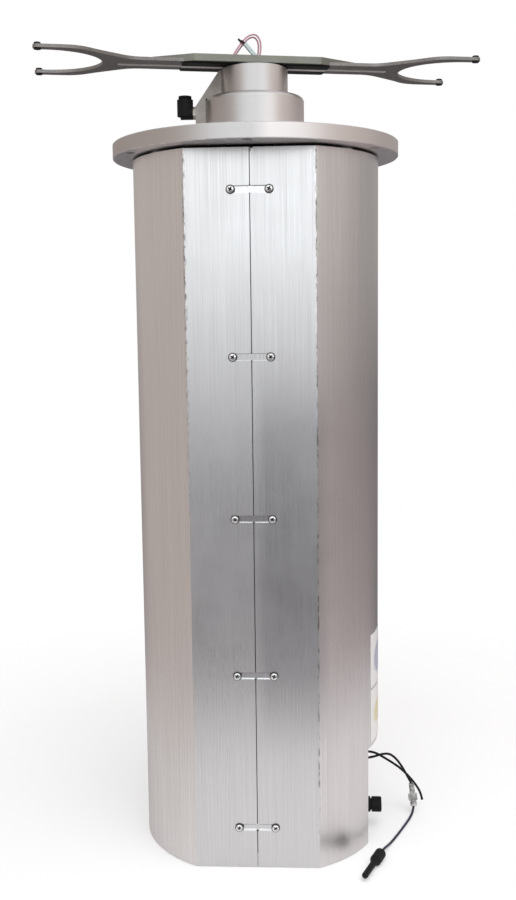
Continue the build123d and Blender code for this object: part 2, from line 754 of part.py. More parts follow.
def home_flag():
    outer = -SPINE_HALF + 2.7
    foot = block(outer, -PLATE_HALF, PLATE_FRONT + 1, PLATE_BACK - 2, PLATE_FOOT + 2, PLATE_FOOT + 16)
    return foot + block(outer, outer + 1, PLATE_BACK - 2, SPINE_FRONT - 6, PLATE_FOOT + 2, PLATE_FOOT + 16)


def ball_nut():
    nut = rod(0, SCREW_Y, COLUMN_Z, COLUMN_Z + NUT_L, NUT_R)
    nut += block(-NUT_R - 4, NUT_R + 4, SCREW_Y - NUT_R, SCREW_Y + NUT_R, COLUMN_Z, COLUMN_Z + 6)
    return nut - rod(0, SCREW_Y, COLUMN_Z - 1, COLUMN_Z + NUT_L + 1, BALL_SCREW_R + RUN_FIT)


def column():
    """Lift tube with its foot flange, which is flattened where the carriage plate stands."""
    top = COLUMN_Z + COLUMN_FLANGE_T
    tube = rod(0, 0, COLUMN_Z, HEAD_Z + COLUMN_SPIGOT, COLUMN_R)
    flange = rod(0, 0, COLUMN_Z, top, COLUMN_FLANGE_R)
    tube += flange - block(-SHELF_HALF, SHELF_HALF, PLATE_FRONT - 1, PLATE_BACK, COLUMN_Z - 1, top + 1)
    tube -= rod(0, 0, COLUMN_Z - 1, HEAD_Z + COLUMN_SPIGOT + 1, COLUMN_R - COLUMN_WALL)
    for x, y in column_screw_points():
        tube -= rod(x, y, COLUMN_Z - 1, top + 1, PAN_SHANK_R + SEAT_FIT)
    return tube


def column_screws():
    screws = []
    for x, y in column_screw_points():
        top = COLUMN_Z + COLUMN_FLANGE_T
        head = rod(x, y, top, top + COLUMN_SCREW_HEAD, COLUMN_SCREW_HEAD)
        screws.append(head + rod(x, y, COLUMN_Z - 9, top, PAN_SHANK_R))
    return screws


def theta_motor():
    """Turning motor under the shelf, with its encoder below it as one bought unit."""
    half = MOTOR_SIDE / 2
    foot = SHELF_Z - THETA_MOTOR_L
    motor = block(-half, half, -half, half, foot, SHELF_Z)
    motor = chamfer(motor.edges().filter_by(Axis.Z), MOTOR_CORNER)
    motor += rod(0, 0, foot - THETA_ENCODER_L, foot, half - 6)
    return motor - rod(0, 0, SHELF_Z - 18, SHELF_Z + 1, MOTOR_SHAFT_R + RUN_FIT)


def head_base():
    """Lower, wider tier of the head, bored for the column below and the top bearing above."""
    tier = rod(0, 0, HEAD_Z, HEAD_TOP, HEAD_R)
    tier = fillet(tier.edges().filter_by(GeomType.CIRCLE).sort_by(Axis.Z)[-1], HEAD_EDGE_R)
    tier -= rod(0, 0, HEAD_Z - 1, HEAD_Z + COLUMN_SPIGOT, COLUMN_R + SEAT_FIT)
    tier -= rod(0, 0, HEAD_Z, HEAD_TOP + 1, SHAFT_R + 2)
    tier -= rod(0, 0, HEAD_TOP - CAP_SPIGOT - BEARING_T, HEAD_TOP + 1, BEARING_SEAT_R + SEAT_FIT)
    tier -= rod(0, 0, HEAD_TOP - CAP_SPIGOT, HEAD_TOP + 1, BEARING_SEAT_R + SPIGOT_STEP)
    return tier - rod_x(0, STUD_Z, -HEAD_R - 1, -BEARING_SEAT_R - 6, AIR_R)


def head_cap():
    """Upper, narrower tier that closes the bearing and guards the spindle's hub."""
    cap = rod(0, 0, HEAD_TOP, CAP_TOP, CAP_R)
    cap = chamfer(cap.edges().filter_by(GeomType.CIRCLE).sort_by(Axis.Z)[-1], CAP_EDGE)
    cap = chamfer(cap.edges().filter_by(GeomType.CIRCLE).sort_by(Axis.Z)[0], CAP_FOOT_EDGE)
    cap += rod(0, 0, HEAD_TOP - CAP_SPIGOT + SEAT_FIT, HEAD_TOP, BEARING_SEAT_R + SPIGOT_STEP - SEAT_FIT)
    cap -= rod(0, 0, HEAD_TOP - CAP_SPIGOT - 1, CAP_TOP + 1, SHAFT_R + 1)
    return cap - rod(0, 0, CAP_TOP - HUB_T, CAP_TOP + 1, HUB_R + 0.6)


def gusset():
    """Sloping rib on the head's side with the air passage for the elbow."""
    foot = HEAD_Z
    knee = HEAD_Z + GUSSET_KNEE
    top = CAP_TOP - 1
    corners = [(0, foot), (GUSSET_X, foot), (GUSSET_X, knee), (-GUSSET_TOP_X, top), (0, top)]
    rib = extrude(Plane.XZ * Polygon(*corners, align=None), GUSSET_T / 2, both=True)
    rib -= rod(0, 0, HEAD_TOP - HEAD_EDGE_R - 1, top + 1, CAP_R + SEAT_FIT)
    rib -= rod(0, 0, foot - 1, HEAD_TOP, HEAD_R + SEAT_FIT)
    return rib - rod_x(0, STUD_Z, GUSSET_X - 1, 0, STUD_R + SEAT_FIT)


def fitting_stud():
    """Threaded stud with its hexagon and the neck that the elbow turns on."""
    hexagon = Plane(origin=(GUSSET_X, 0, STUD_Z), x_dir=(0, 0, 1), z_dir=(-1, 0, 0))
    nut = extrude(hexagon * RegularPolygon(STUD_HEX / 2, 6, major_radius=False), 2.6)
    stud = nut + rod_x(0, STUD_Z, GUSSET_X, -HEAD_R - 1, STUD_R)
    stud += rod_x(0, STUD_Z, -ELBOW_X - 3, GUSSET_X, NECK_R)
    return stud - rod_x(0, STUD_Z, -ELBOW_X - 4, 0, AIR_R)


def fitting_body():
    """Ribbed elbow: a barrel across the neck with a socket for the tube in its top."""
    foot = STUD_Z - ELBOW_FOOT
    top = STUD_Z + ELBOW_TOP
    barrel = rod(-ELBOW_X, 0, foot, top, ELBOW_R)
    for x, y in polar(ELBOW_RIBS, ELBOW_R + 0.25):
        barrel -= rod(x - ELBOW_X, y, foot + 1, top - 1.5, 0.7)
    barrel += rod_x(0, STUD_Z, -ELBOW_X - 4.5, GUSSET_X - 3.0, NECK_R + 2.2)
    barrel -= rod_x(0, STUD_Z, -ELBOW_X - 3.4, 0, NECK_R + RUN_FIT)
    barrel -= rod(-ELBOW_X, 0, STUD_Z + NECK_R + 0.6, top + 1, 3.1)
    return barrel - rod(-ELBOW_X, 0, top - 4, top + 1, COLLAR_R - COLLAR_LIP + GUIDE_FIT)


def release_collar():
    """Ring that is pushed in to let the tube go."""
    top = STUD_Z + ELBOW_TOP
    rim = rod(-ELBOW_X, 0, top + COLLAR_RISE, top + COLLAR_H, COLLAR_R)
    sleeve = rod(-ELBOW_X, 0, top - 2.4, top + COLLAR_RISE, COLLAR_R - COLLAR_LIP)
    return rim + sleeve - rod(-ELBOW_X, 0, top - 3, top + COLLAR_H + 1, TUBE_R)


def bearing(z, outer):
    race = ring(0, 0, z, z + BEARING_T, outer, SHAFT_R + RUN_FIT)
    middle = (outer + SHAFT_R) / 2
    groove = ring(0, 0, z + BEARING_T - 1.2, z + BEARING_T + 1, middle + 2, middle - 2)
    return race - groove


def bearing_upper():
    return bearing(HEAD_TOP - CAP_SPIGOT - BEARING_T, BEARING_SEAT_R)


def bearing_lower():
    return bearing(COLUMN_Z + 35, COLUMN_R - COLUMN_WALL - SEAT_FIT)


# ---- spindle and arm ----------------------------------------------------------------------

def theta_motor_shaft():
    return rod(0, 0, SHELF_Z - 16, COLUMN_Z + 2, MOTOR_SHAFT_R)


def spindle_shaft():
    shaft = rod(0, 0, COLUMN_Z + 12, ARM_Z - HUB_T, SHAFT_R)
    shaft += rod(0, 0, ARM_Z - HUB_T, ARM_Z, HUB_R)
    return shaft - rod(0, 0, COLUMN_Z + 11, ARM_Z + 1, SHAFT_BORE_R)


def theta_coupling():
    """Slit clamp coupling between the motor's shaft and the spindle."""
    foot = SHELF_Z + 4
    top = COLUMN_Z + 30
    body = rod(0, 0, foot, top, COUPLING_R + 2)
    body -= rod(0, 0, foot - 1, top + 1, MOTOR_SHAFT_R + SEAT_FIT)
    body -= rod(0, 0, COLUMN_Z + 12, top + 1, SHAFT_R + SEAT_FIT)
    body -= block(-COUPLING_R - 3, 4, -COUPLING_R - 3, COUPLING_R + 3, COLUMN_Z + 4, COLUMN_Z + 5.2)
    return body - block(-4, COUPLING_R + 3, -COUPLING_R - 3, COUPLING_R + 3, COLUMN_Z + 8, COLUMN_Z + 9.2)


def arm_plate():
    """Black plate under the blades, slotted at both ends for the vacuum strips."""
    plate = RectangleRounded(2 * ARM_PLATE_HALF_L, 2 * ARM_PLATE_HALF_W, 3)
    slot_l = ARM_PLATE_HALF_L - STRIP_START + 1
    slot = Rectangle(slot_l, 2 * (STRIP_ROOT_HALF + STRIP_FIT))
    for side in (-1, 1):
        plate -= Pos(side * (STRIP_START - STRIP_FIT + slot_l / 2), 0) * slot
    body = Pos(0, 0, ARM_Z) * extrude(plate, ARM_PLATE_T)
    for x, y in hub_screw_points():
        body -= rod(x, y, ARM_Z - 1, BLADE_Z + 1, ARM_SCREW_R + SEAT_FIT)
    return on_arm(body)


def blade_outline():
    """Fork seen from above: shank, flare, two parallel tines and a half-elliptical notch."""
    tine = (BLADE_HALF - NOTCH_HALF) / 2
    flare = FLARE_END - SHANK_END
    rise = BLADE_HALF - SHANK_HALF
    with BuildSketch() as sketch:
        with BuildLine() as upper:
            Line((BLADE_SPLIT / 2, 0), (BLADE_SPLIT / 2, SHANK_HALF))
            Line((BLADE_SPLIT / 2, SHANK_HALF), (SHANK_END, SHANK_HALF))
            Spline(
                (SHANK_END, SHANK_HALF),
                (SHANK_END + 0.33 * flare, SHANK_HALF + 0.27 * rise),
                (SHANK_END + 0.60 * flare, SHANK_HALF + 0.66 * rise),
                (FLARE_END, BLADE_HALF),
                tangents=((1, 0), (1, 0)),
            )
            Line((FLARE_END, BLADE_HALF), (BLADE_TIP - tine, BLADE_HALF))
            ThreePointArc(
                (BLADE_TIP - tine, BLADE_HALF),
                (BLADE_TIP, TIP_MID),
                (BLADE_TIP - tine, NOTCH_HALF),
            )
            Line((BLADE_TIP - tine, NOTCH_HALF), (NOTCH_STRAIGHT, NOTCH_HALF))
            EllipticalCenterArc(
                (NOTCH_STRAIGHT, 0), NOTCH_STRAIGHT - NOTCH_APEX, NOTCH_HALF, 90, arc_size=90
            )
            Line((NOTCH_APEX, 0), (BLADE_SPLIT / 2, 0))
        make_face()
        mirror(about=Plane.XZ)
    return sketch.sketch


def blade():
    body = Pos(0, 0, BLADE_Z) * extrude(blade_outline(), BLADE_T)
    for x, y in blade_screw_points() + hub_screw_points():
        if x > 0:
            body -= rod(x, y, BLADE_Z - 1, CLAMP_Z + 1, ARM_SCREW_R + SEAT_FIT)
    for side in (-1, 1):
        body -= rod(BLADE_TIP - PAD_IN, side * TIP_MID, BLADE_Z - 1, CLAMP_Z + 1, PAD_PIN_R + SEAT_FIT)
    return body - rod(0, 0, BLADE_Z - 1, CLAMP_Z + 1, SHAFT_BORE_R)


def blade_right():
    return on_arm(blade())


def blade_left():
    return on_arm(turned_end(blade()))


def hub_screw_points():
    return polar(4, HUB_SCREW_PCR, 45)


def blade_screw_points():
    return [(sx * x, sy * 12.0) for sx in (-1, 1) for x in (34.0, 56.0) for sy in (-1, 1)]


def arm_block():
    """Clear anodised clamp over the blades' roots, with cheeks down both sides and tapered ends."""
    outline = Polygon(
        (-CLAMP_END, -4.0), (-CLAMP_FLAT, -CLAMP_HALF), (CLAMP_FLAT, -CLAMP_HALF), (CLAMP_END, -4.0),
        (CLAMP_END, 4.0), (CLAMP_FLAT, CLAMP_HALF), (-CLAMP_FLAT, CLAMP_HALF), (-CLAMP_END, 4.0),
        align=None,
    )
    body = Pos(0, 0, BLADE_Z) * extrude(outline, BLADE_T + CLAMP_T)
    reach = SHANK_HALF + CLAMP_FIT
    body -= block(-CLAMP_END - 1, CLAMP_END + 1, -reach, reach, BLADE_Z - 1, CLAMP_Z)
    for x, y in blade_screw_points() + hub_screw_points():
        body -= rod(x, y, CLAMP_Z - 1, ARM_TOP + 1, ARM_SCREW_R + SEAT_FIT)
        body -= rod(x, y, ARM_TOP - ARM_SCREW_SUNK, ARM_TOP + 1, ARM_SCREW_HEAD_R + 2 * SEAT_FIT)
    return on_arm(body)


def arm_screws():
    """Small cap screws through the clamp: four into the hub's plate, four in each blade's root."""
    screws = []
    seat = ARM_TOP - ARM_SCREW_SUNK + SEAT_FIT
    face = ARM_TOP - SEAT_FIT
    for x, y in blade_screw_points() + hub_screw_points():
        head = rod(x, y, seat, face, ARM_SCREW_HEAD_R)
        shank = rod(x, y, BLADE_Z + 0.3, seat, ARM_SCREW_R)
        hexagon = Plane(origin=(x, y, face), z_dir=(0, 0, -1)) * RegularPolygon(1.3, 6)
        screws.append(on_arm(head + shank - extrude(hexagon, 1.1)))
    return screws


def vacuum_strips():
    """Pale covers of the air channels: wide between the plate's slots, narrow under the blades."""
    root = block(STRIP_START, ARM_PLATE_HALF_L, -STRIP_ROOT_HALF, STRIP_ROOT_HALF, ARM_Z, BLADE_Z)
    run = block(ARM_PLATE_HALF_L, STRIP_END, -STRIP_HALF, STRIP_HALF, BLADE_Z - STRIP_T, BLADE_Z)
    strip = root + run
    return [on_arm(strip), on_arm(turned_end(strip))]


def tip_pads():
    """On every tine a round stop pinned through the tip and a low land that the wafer rests on."""
    pads = []
    for turn in (0, 180):
        for side in (-1, 1):
            x = BLADE_TIP - PAD_IN
            y = side * TIP_MID
            stop = rod(x, y, CLAMP_Z, CLAMP_Z + PAD_H, PAD_R)
            stop = fillet(stop.edges().filter_by(GeomType.CIRCLE).sort_by(Axis.Z)[-1], 0.8)
            stop += rod(x, y, BLADE_Z, CLAMP_Z, PAD_PIN_R)
            stop += rod(x, y, BLADE_Z - PAD_FOOT_T, BLADE_Z, PAD_R)
            end = BLADE_TIP - 10
            y0 = side * TIP_MID - LAND_W / 2
            land = block(end - LAND_L, end, y0, y0 + LAND_W, CLAMP_Z, CLAMP_Z + LAND_T)
            pads.append(on_arm(Rot(0, 0, turn) * stop))
            pads.append(on_arm(Rot(0, 0, turn) * land))
    return pads


# The loop of two thin leads that rises from the clamp and goes back into it.
OUTER_LOOP = [(-21.0, 1.0, 0.0), (-21.0, 1.0, 4.6), (-17.0, 1.0, 10.6), (-12.2, 1.0, 17.2),
              (-5.8, 1.0, 23.8), (2.0, 1.0, 25.6), (6.6, 1.0, 19.4), (6.8, 1.0, 10.4),
              (5.6, 1.0, 5.0), (5.6, 1.0, 0.0)]
INNER_LOOP = [(-18.9, 3.2, 0.0), (-18.9, 3.2, 4.2), (-15.1, 3.2, 9.8), (-10.5, 3.2, 16.0),
              (-4.7, 3.2, 21.9), (1.3, 3.2, 23.3), (4.8, 3.2, 17.8), (4.8, 3.2, 10.2),
              (3.7, 3.2, 5.0), (3.7, 3.2, 0.0)]


def loop_route(points):
    turn = math.radians(ARM_REST)
    spots = []
    for u, v, h in points:
        x = u * math.cos(turn) - v * math.sin(turn)
        y = u * math.sin(turn) + v * math.cos(turn)
        spots.append((x, y, ARM_TOP + h))
    return spots


def loop_lead_outer():
    return cord(loop_route(OUTER_LOOP), LOOP_D, "loop_lead_outer")


def loop_lead_inner():
    return cord(loop_route(INNER_LOOP), LOOP_D, "loop_lead_inner")


def loop_connector():
    """Small two-pole connector leaning on the clamp, tied to the loop at its upper end."""
    lower = Vector(2.6, -2.6, ARM_TOP + 1.4)
    upper = Vector(-9.6, -2.6, ARM_TOP + 15.2)
    axis = (upper - lower).normalized()
    length = (upper - lower).length
    lie = Plane(origin=lower, x_dir=(0, 1, 0), z_dir=axis)
    body = extrude(lie * RectangleRounded(3.4, 4.0, 0.7), length)
    waist = extrude(lie.offset(length * 0.42) * Rectangle(5, 6), length * 0.08)
    waist -= extrude(lie.offset(length * 0.4) * Rectangle(2.8, 3.3), length * 0.12)
    return on_arm(body - waist)


def loop_tie():
    """Cable tie round the loop's left leg with its cut tail pointing away from it."""
    spot = Vector(-11.6, 2.1, ARM_TOP + 16.2)
    lie = Plane(origin=spot, x_dir=(0, 1, 0), z_dir=(0.64, 0, 0.77))
    band = extrude(lie * RectangleRounded(7.0, 5.4, 1.4), 1.8)
    band -= extrude(lie.offset(-1) * RectangleRounded(5.4, 3.8, 1.0), 4)
    tail = extrude(lie * (Pos(0, 4.0) * Rectangle(1.8, 3.4)), 1.6)
    return on_arm(band + tail)


# ---- build --------------------------------------------------------------------------------

PARTS = [
    base_plate, front_post, rear_spine, side_posts, mounting_flange, column_seal, socket_screws,
    cover_left, cover_right, cover_screws, label_blanks,
    connector_panel, connector_shell, connector_ring, lead_grommet,
    lead_long, lead_short, lead_tail, lead_splice, lead_plug,
    guide_rails, z_motor, z_motor_bracket, z_belt, screw_block_lower,
    screw_block_upper, stop_bumper, home_sensor,
    z_motor_pulley, ball_screw, screw_pulley,
    carriage, rail_blocks, ball_nut, home_flag, column, column_screws, theta_motor,
    head_base, head_cap, gusset, fitting_stud, bearing_upper, bearing_lower,
    fitting_body, release_collar,
    theta_motor_shaft, theta_coupling, spindle_shaft, arm_plate, arm_block, blade_right,
    blade_left, arm_screws, vacuum_strips, tip_pads, loop_lead_outer, loop_lead_inner,
    loop_connector, loop_tie,
]


def main():
    os.makedirs("parts", exist_ok=True)
    for make in PARTS:
        shape = make()
        if isinstance(shape, (list, tuple)):
            shape = Compound(children=list(shape))
        export_step(shape, f"parts/{make.__name__}.step")
    print(len(PARTS), "parts, stroke", round(STROKE, 1))


main()
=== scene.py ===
# %% [markdown]
# # A wafer handling robot, dressed for its picture
#
# The engineering model gives every rigid piece at its real size and place. This notebook adds
# what the eye needs: brushed and turned aluminium, real screw heads, ribbed plastic, soft
# leads, and a plain studio. Each step says what the real thing is, and why it is made this way.

# %% Load the fixed frame
import math

import bmesh
import bpy
from mathutils import Matrix, Vector


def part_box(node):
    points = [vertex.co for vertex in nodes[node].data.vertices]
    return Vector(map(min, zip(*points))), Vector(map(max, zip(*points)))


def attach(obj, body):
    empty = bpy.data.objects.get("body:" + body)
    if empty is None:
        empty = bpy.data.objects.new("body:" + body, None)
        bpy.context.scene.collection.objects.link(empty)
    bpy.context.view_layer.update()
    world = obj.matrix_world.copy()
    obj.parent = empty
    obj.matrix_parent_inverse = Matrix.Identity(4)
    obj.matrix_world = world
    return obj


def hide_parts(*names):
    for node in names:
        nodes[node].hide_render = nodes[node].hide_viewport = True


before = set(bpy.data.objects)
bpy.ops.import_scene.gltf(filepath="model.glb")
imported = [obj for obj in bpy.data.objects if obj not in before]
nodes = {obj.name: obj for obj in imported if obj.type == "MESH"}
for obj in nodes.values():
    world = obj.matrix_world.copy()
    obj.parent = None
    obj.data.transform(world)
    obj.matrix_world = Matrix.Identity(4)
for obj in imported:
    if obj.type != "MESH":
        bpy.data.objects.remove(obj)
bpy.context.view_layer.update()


def rounded(values, digits=3):
    """Short form of some numbers, for printing."""
    return [round(value, digits) for value in values]


# %% [markdown]
# Nearly every size below is read from the frame, so the looks stay right if a part grows. A few
# boxes give them: the housing, the flange, the head and the screws. Only the screw head's radius
# and the slots' half height are typed in, because no box gives them on its own.

# %% Sizes that the looks need
left_low, left_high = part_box("cover_left")
flange_low, flange_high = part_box("mounting_flange")
head_low, head_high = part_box("head_base")
cap_low, cap_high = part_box("head_cap")
HOUSING_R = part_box("cover_right")[1].x
FACET = -left_low.y
FACET_HALF = math.sqrt(HOUSING_R**2 - FACET**2)
HOUSING_TOP = left_high.z
screw_low, screw_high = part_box("cover_screws")
HEAD_R = 0.00415
HEAD_H = -FACET - screw_low.y
ROWS = 5
ROW_PITCH = (screw_high.z - screw_low.z - 2 * HEAD_R) / (ROWS - 1)
FIRST_ROW = screw_low.z + HEAD_R
COLUMN_HALF = screw_high.x - HEAD_R
SLOT_HALF = 0.003
print("housing radius, facet and its half width:", rounded((HOUSING_R, FACET, FACET_HALF), 4))

# %% [markdown]
# ## Camera and light
#
# The camera stands about a metre in front, at chest height of the robot, and looks slightly
# down. A long lens keeps the housing's sides nearly upright. Metal shows its surroundings
# more than its own colour, so the studio is built for the reflections: a bright card above and
# behind the camera for the facet's top, a darker room at eye height, and a pale floor.

# %% Camera
CAMERA_PLACE = Vector((0.0603, -1.1126, 0.5281))
CAMERA_YAW = math.radians(-3.153)
CAMERA_PITCH = math.radians(-6.835)
CAMERA_ROLL = math.radians(-0.689)
CAMERA_LENS = 44.0
CAMERA_SENSOR = 36.0


def aim(yaw, pitch, roll):
    """Rotation whose -Z looks along yaw and pitch, with a small roll about the line of sight."""
    level = Vector((math.sin(yaw), math.cos(yaw), 0.0))
    ahead = level * math.cos(pitch) + Vector((0.0, 0.0, math.sin(pitch)))
    right = Vector((math.cos(yaw), -math.sin(yaw), 0.0))
    up = right.cross(ahead)
    rolled_right = math.cos(roll) * right + math.sin(roll) * up
    rolled_up = math.cos(roll) * up - math.sin(roll) * right
    return Matrix((rolled_right, rolled_up, -ahead)).transposed()


camera = bpy.data.objects.new("camera", bpy.data.cameras.new("camera"))
camera.data.lens = CAMERA_LENS
camera.data.sensor_width = CAMERA_SENSOR
looking = aim(CAMERA_YAW, CAMERA_PITCH, CAMERA_ROLL)
camera.matrix_world = Matrix.Translation(CAMERA_PLACE) @ looking.to_4x4()
bpy.context.scene.collection.objects.link(camera)
bpy.context.scene.camera = camera
bpy.context.scene.view_settings.view_transform = "Standard"
print("camera at", rounded(CAMERA_PLACE), "with a lens of", CAMERA_LENS, "mm")

# %% [markdown]
# Materials and surroundings are node trees. A short helper class keeps each tree readable: it
# adds a node, wires it and hands back the output socket, so a formula reads like one.

# %% A small kit for node trees


class Tree:
    """Shorthand for adding nodes to one tree and wiring them."""

    def __init__(self, tree):
        self.tree = tree

    def add(self, kind, **settings):
        node = self.tree.nodes.new(kind)
        for key, value in settings.items():
            setattr(node, key, value)
        return node

    def feed(self, source, target):
        self.tree.links.new(source, target)

    def put(self, value, socket):
        """Wires a socket, or sets it when the value is a plain number."""
        if isinstance(value, bpy.types.NodeSocket):
            self.feed(value, socket)
        else:
            socket.default_value = value

    def place(self):
        """Where the shaded point lies, in the piece's own metres."""
        return self.add("ShaderNodeTexCoord").outputs["Object"]

    def split(self, vector):
        node = self.add("ShaderNodeSeparateXYZ")
        self.feed(vector, node.inputs[0])
        return node.outputs

    def math(self, operation, *values):
        node = self.add("ShaderNodeMath", operation=operation)
        for socket, value in zip(node.inputs, values):
            self.put(value, socket)
        return node.outputs[0]

    def times(self, first, second):
        return self.math("MULTIPLY", first, second)

    def less(self, first, second):
        return self.math("SUBTRACT", first, second)

    def reach(self, first, second):
        """Straight distance from two offsets at right angles."""
        squares = [self.math("POWER", offset, 2.0) for offset in (first, second)]
        return self.math("SQRT", self.math("ADD", *squares))

    def noise(self, vector, scale=1.0, detail=3.0, roughness=0.5):
        node = self.add("ShaderNodeTexNoise")
        self.put(vector, node.inputs["Vector"])
        self.put(scale, node.inputs["Scale"])
        node.inputs["Detail"].default_value = detail
        node.inputs["Roughness"].default_value = roughness
        return node.outputs["Fac"]

    def span(self, value, low, high, to_low=0.0, to_high=1.0):
        """Maps low..high to another range and stops at its ends."""
        node = self.add("ShaderNodeMapRange", clamp=True)
        for name, given in (("Value", value), ("From Min", low), ("From Max", high),
                            ("To Min", to_low), ("To Max", to_high)):
            self.put(given, node.inputs[name])
        return node.outputs["Result"]

    def mix(self, share, first, second):
        """Colour from first to second as share goes from 0 to 1."""
        node = self.add("ShaderNodeMix", data_type="RGBA")
        self.put(share, node.inputs["Factor"])
        self.put(first, node.inputs["A"])
        self.put(second, node.inputs["B"])
        return node.outputs["Result"]

    def scaled(self, vector, scale):
        node = self.add("ShaderNodeVectorMath", operation="MULTIPLY")
        self.put(vector, node.inputs[0])
        self.put(scale, node.inputs[1])
        return node.outputs[0]


print("the kit can:", [name for name in vars(Tree) if not name.startswith("_")])

# %% [markdown]
# Every finish starts as one Principled shader. What is the same all over the piece, such as
# how metallic it is, is set on the shader itself. What changes over the surface is wired in:
# tones go to the base colour, masks to the roughness, and fine relief to a bump.

# %% A blank finish to start from


class Finish(Tree):
    """A material with one Principled shader, and the kit for its tree."""

    def __init__(self, name, metallic, roughness):
        self.material = bpy.data.materials.new(name)
        self.material.use_nodes = True
        super().__init__(self.material.node_tree)
        self.shader = self.tree.nodes["Principled BSDF"].inputs
        self.shader["Metallic"].default_value = metallic
        self.shader["Roughness"].default_value = roughness

    def use(self, group, **values):
        """Places a node group; underscores in the names of its inputs stand for spaces."""
        node = self.add("ShaderNodeGroup", node_tree=group)
        for key, value in values.items():
            self.put(value, node.inputs[key.replace("_", " ")])
        return node.outputs

    def colour(self, tone):
        self.feed(tone, self.shader["Base Color"])

    def roughen(self, mask, low, high):
        """Roughness from low to high as the mask goes from 0 to 1."""
        self.feed(self.span(mask, 0.0, 1.0, low, high), self.shader["Roughness"])

    def bump(self, height, strength, distance):
        node = self.add("ShaderNodeBump")
        node.inputs["Strength"].default_value = strength
        node.inputs["Distance"].default_value = distance
        self.feed(height, node.inputs["Height"])
        self.feed(node.outputs[0], self.shader["Normal"])

    def done(self):
        print(self.material.name, "has", len(self.tree.nodes), "nodes")
        return self.material


def toned(shade, red=1.0, green=1.0, blue=1.0):
    """A grey of the given shade, leaning towards the given shares of red, green and blue."""
    return (shade * red, shade * green, shade * blue, 1)


print("a middle grey is", toned(0.5))

# %% [markdown]
# The floor is a pale, slightly see-through mat that fades out at its rim, so it catches a soft
# shadow and then melts into the white studio. It is thinner on the left, so the shadow stays
# faint there. Its size matters to the housing too: the bottom of the facet mirrors the lit mat,
# and the middle mirrors the darker room beyond it.

# %% Floor
FLOOR_R = 0.80
FLOOR_EDGES = 96
MAT_TONES = ((0.84, 0.83, 0.83, 1), (0.88, 0.87, 0.87, 1))
MAT_THIN, MAT_FULL = 0.30, 0.65


def link_mesh(name, mesh):
    """Puts a finished mesh in the scene as an object at the origin."""
    made = bpy.data.objects.new(name, mesh)
    bpy.context.scene.collection.objects.link(made)
    return made


def make_floor():
    mesh = bpy.data.meshes.new("floor")
    edit = bmesh.new()
    bmesh.ops.create_circle(edit, cap_ends=True, segments=FLOOR_EDGES, radius=FLOOR_R)
    edit.to_mesh(mesh)
    edit.free()
    kit = Finish("pale_mat", 0.0, 0.6)
    place = kit.place()
    out = kit.add("ShaderNodeVectorMath", operation="LENGTH")
    kit.feed(place, out.inputs[0])
    cloud = kit.noise(place, 2.0, 2.0, 0.5)
    kit.colour(kit.mix(cloud, *MAT_TONES))
    body = kit.span(kit.split(place)["X"], -0.45, -0.05, MAT_THIN, MAT_FULL)
    fade = kit.span(out.outputs["Value"], FLOOR_R * 0.50, FLOOR_R * 0.98, 1.0, 0.0)
    kit.feed(kit.times(body, fade), kit.shader["Alpha"])
    mesh.materials.append(kit.done())
    return link_mesh("floor", mesh)


floor = make_floor()
print("floor mat", FLOOR_R, "m in radius")

# %% [markdown]
# One wide overhead card lights the mat and the tops. It is hidden from glossy rays, because
# the metal should mirror the room and not a hard-edged lamp.

# %% Overhead light
CARD_PLACE = Vector((0.5, -0.9, 2.4))
CARD_SIDE = 2.2
CARD_POWER = 49.0


def overhead_card():
    """Soft square of light that faces the foot of the robot."""
    data = bpy.data.lights.new("overhead", "AREA")
    data.shape = "RECTANGLE"
    data.size = CARD_SIDE
    data.size_y = CARD_SIDE
    data.energy = CARD_POWER
    card = bpy.data.objects.new("overhead", data)
    card.location = CARD_PLACE
    card.rotation_euler = (-CARD_PLACE).to_track_quat("-Z", "Y").to_euler()
    card.visible_glossy = False
    bpy.context.scene.collection.objects.link(card)


overhead_card()
print("one card of", CARD_SIDE, "m, at", rounded(CARD_PLACE), "m,", CARD_POWER, "W")

# %% [markdown]
# The room is a world shader of a few soft zones, told apart by direction: a bright window
# behind the camera and a little to its right, dim walls, a lighter wall on the left, a rosy one
# on the right that is paler near the floor, and a pale ceiling. Camera rays see plain white
# instead, found with the Light Path node.

# %% Surroundings
WINDOW_TOWARDS = (0.11, -0.989, 0.10)
WINDOW = (1.46, 1.52, 1.56, 1)
CEILING = (0.72, 0.72, 0.73, 1)
FRONT_WALL = (0.68, 0.62, 0.585, 1)
BACK_WALL = (0.30, 0.29, 0.29, 1)
LEFT_WALL = (0.57, 0.51, 0.475, 1)
LEFT_WALL_LOW = (0.52, 0.46, 0.435, 1)
RIGHT_WALL_LOW = (0.25, 0.215, 0.212, 1)
RIGHT_SKIRTING = (0.52, 0.43, 0.43, 1)
FLOOR_BEYOND = (0.165, 0.155, 0.165, 1)


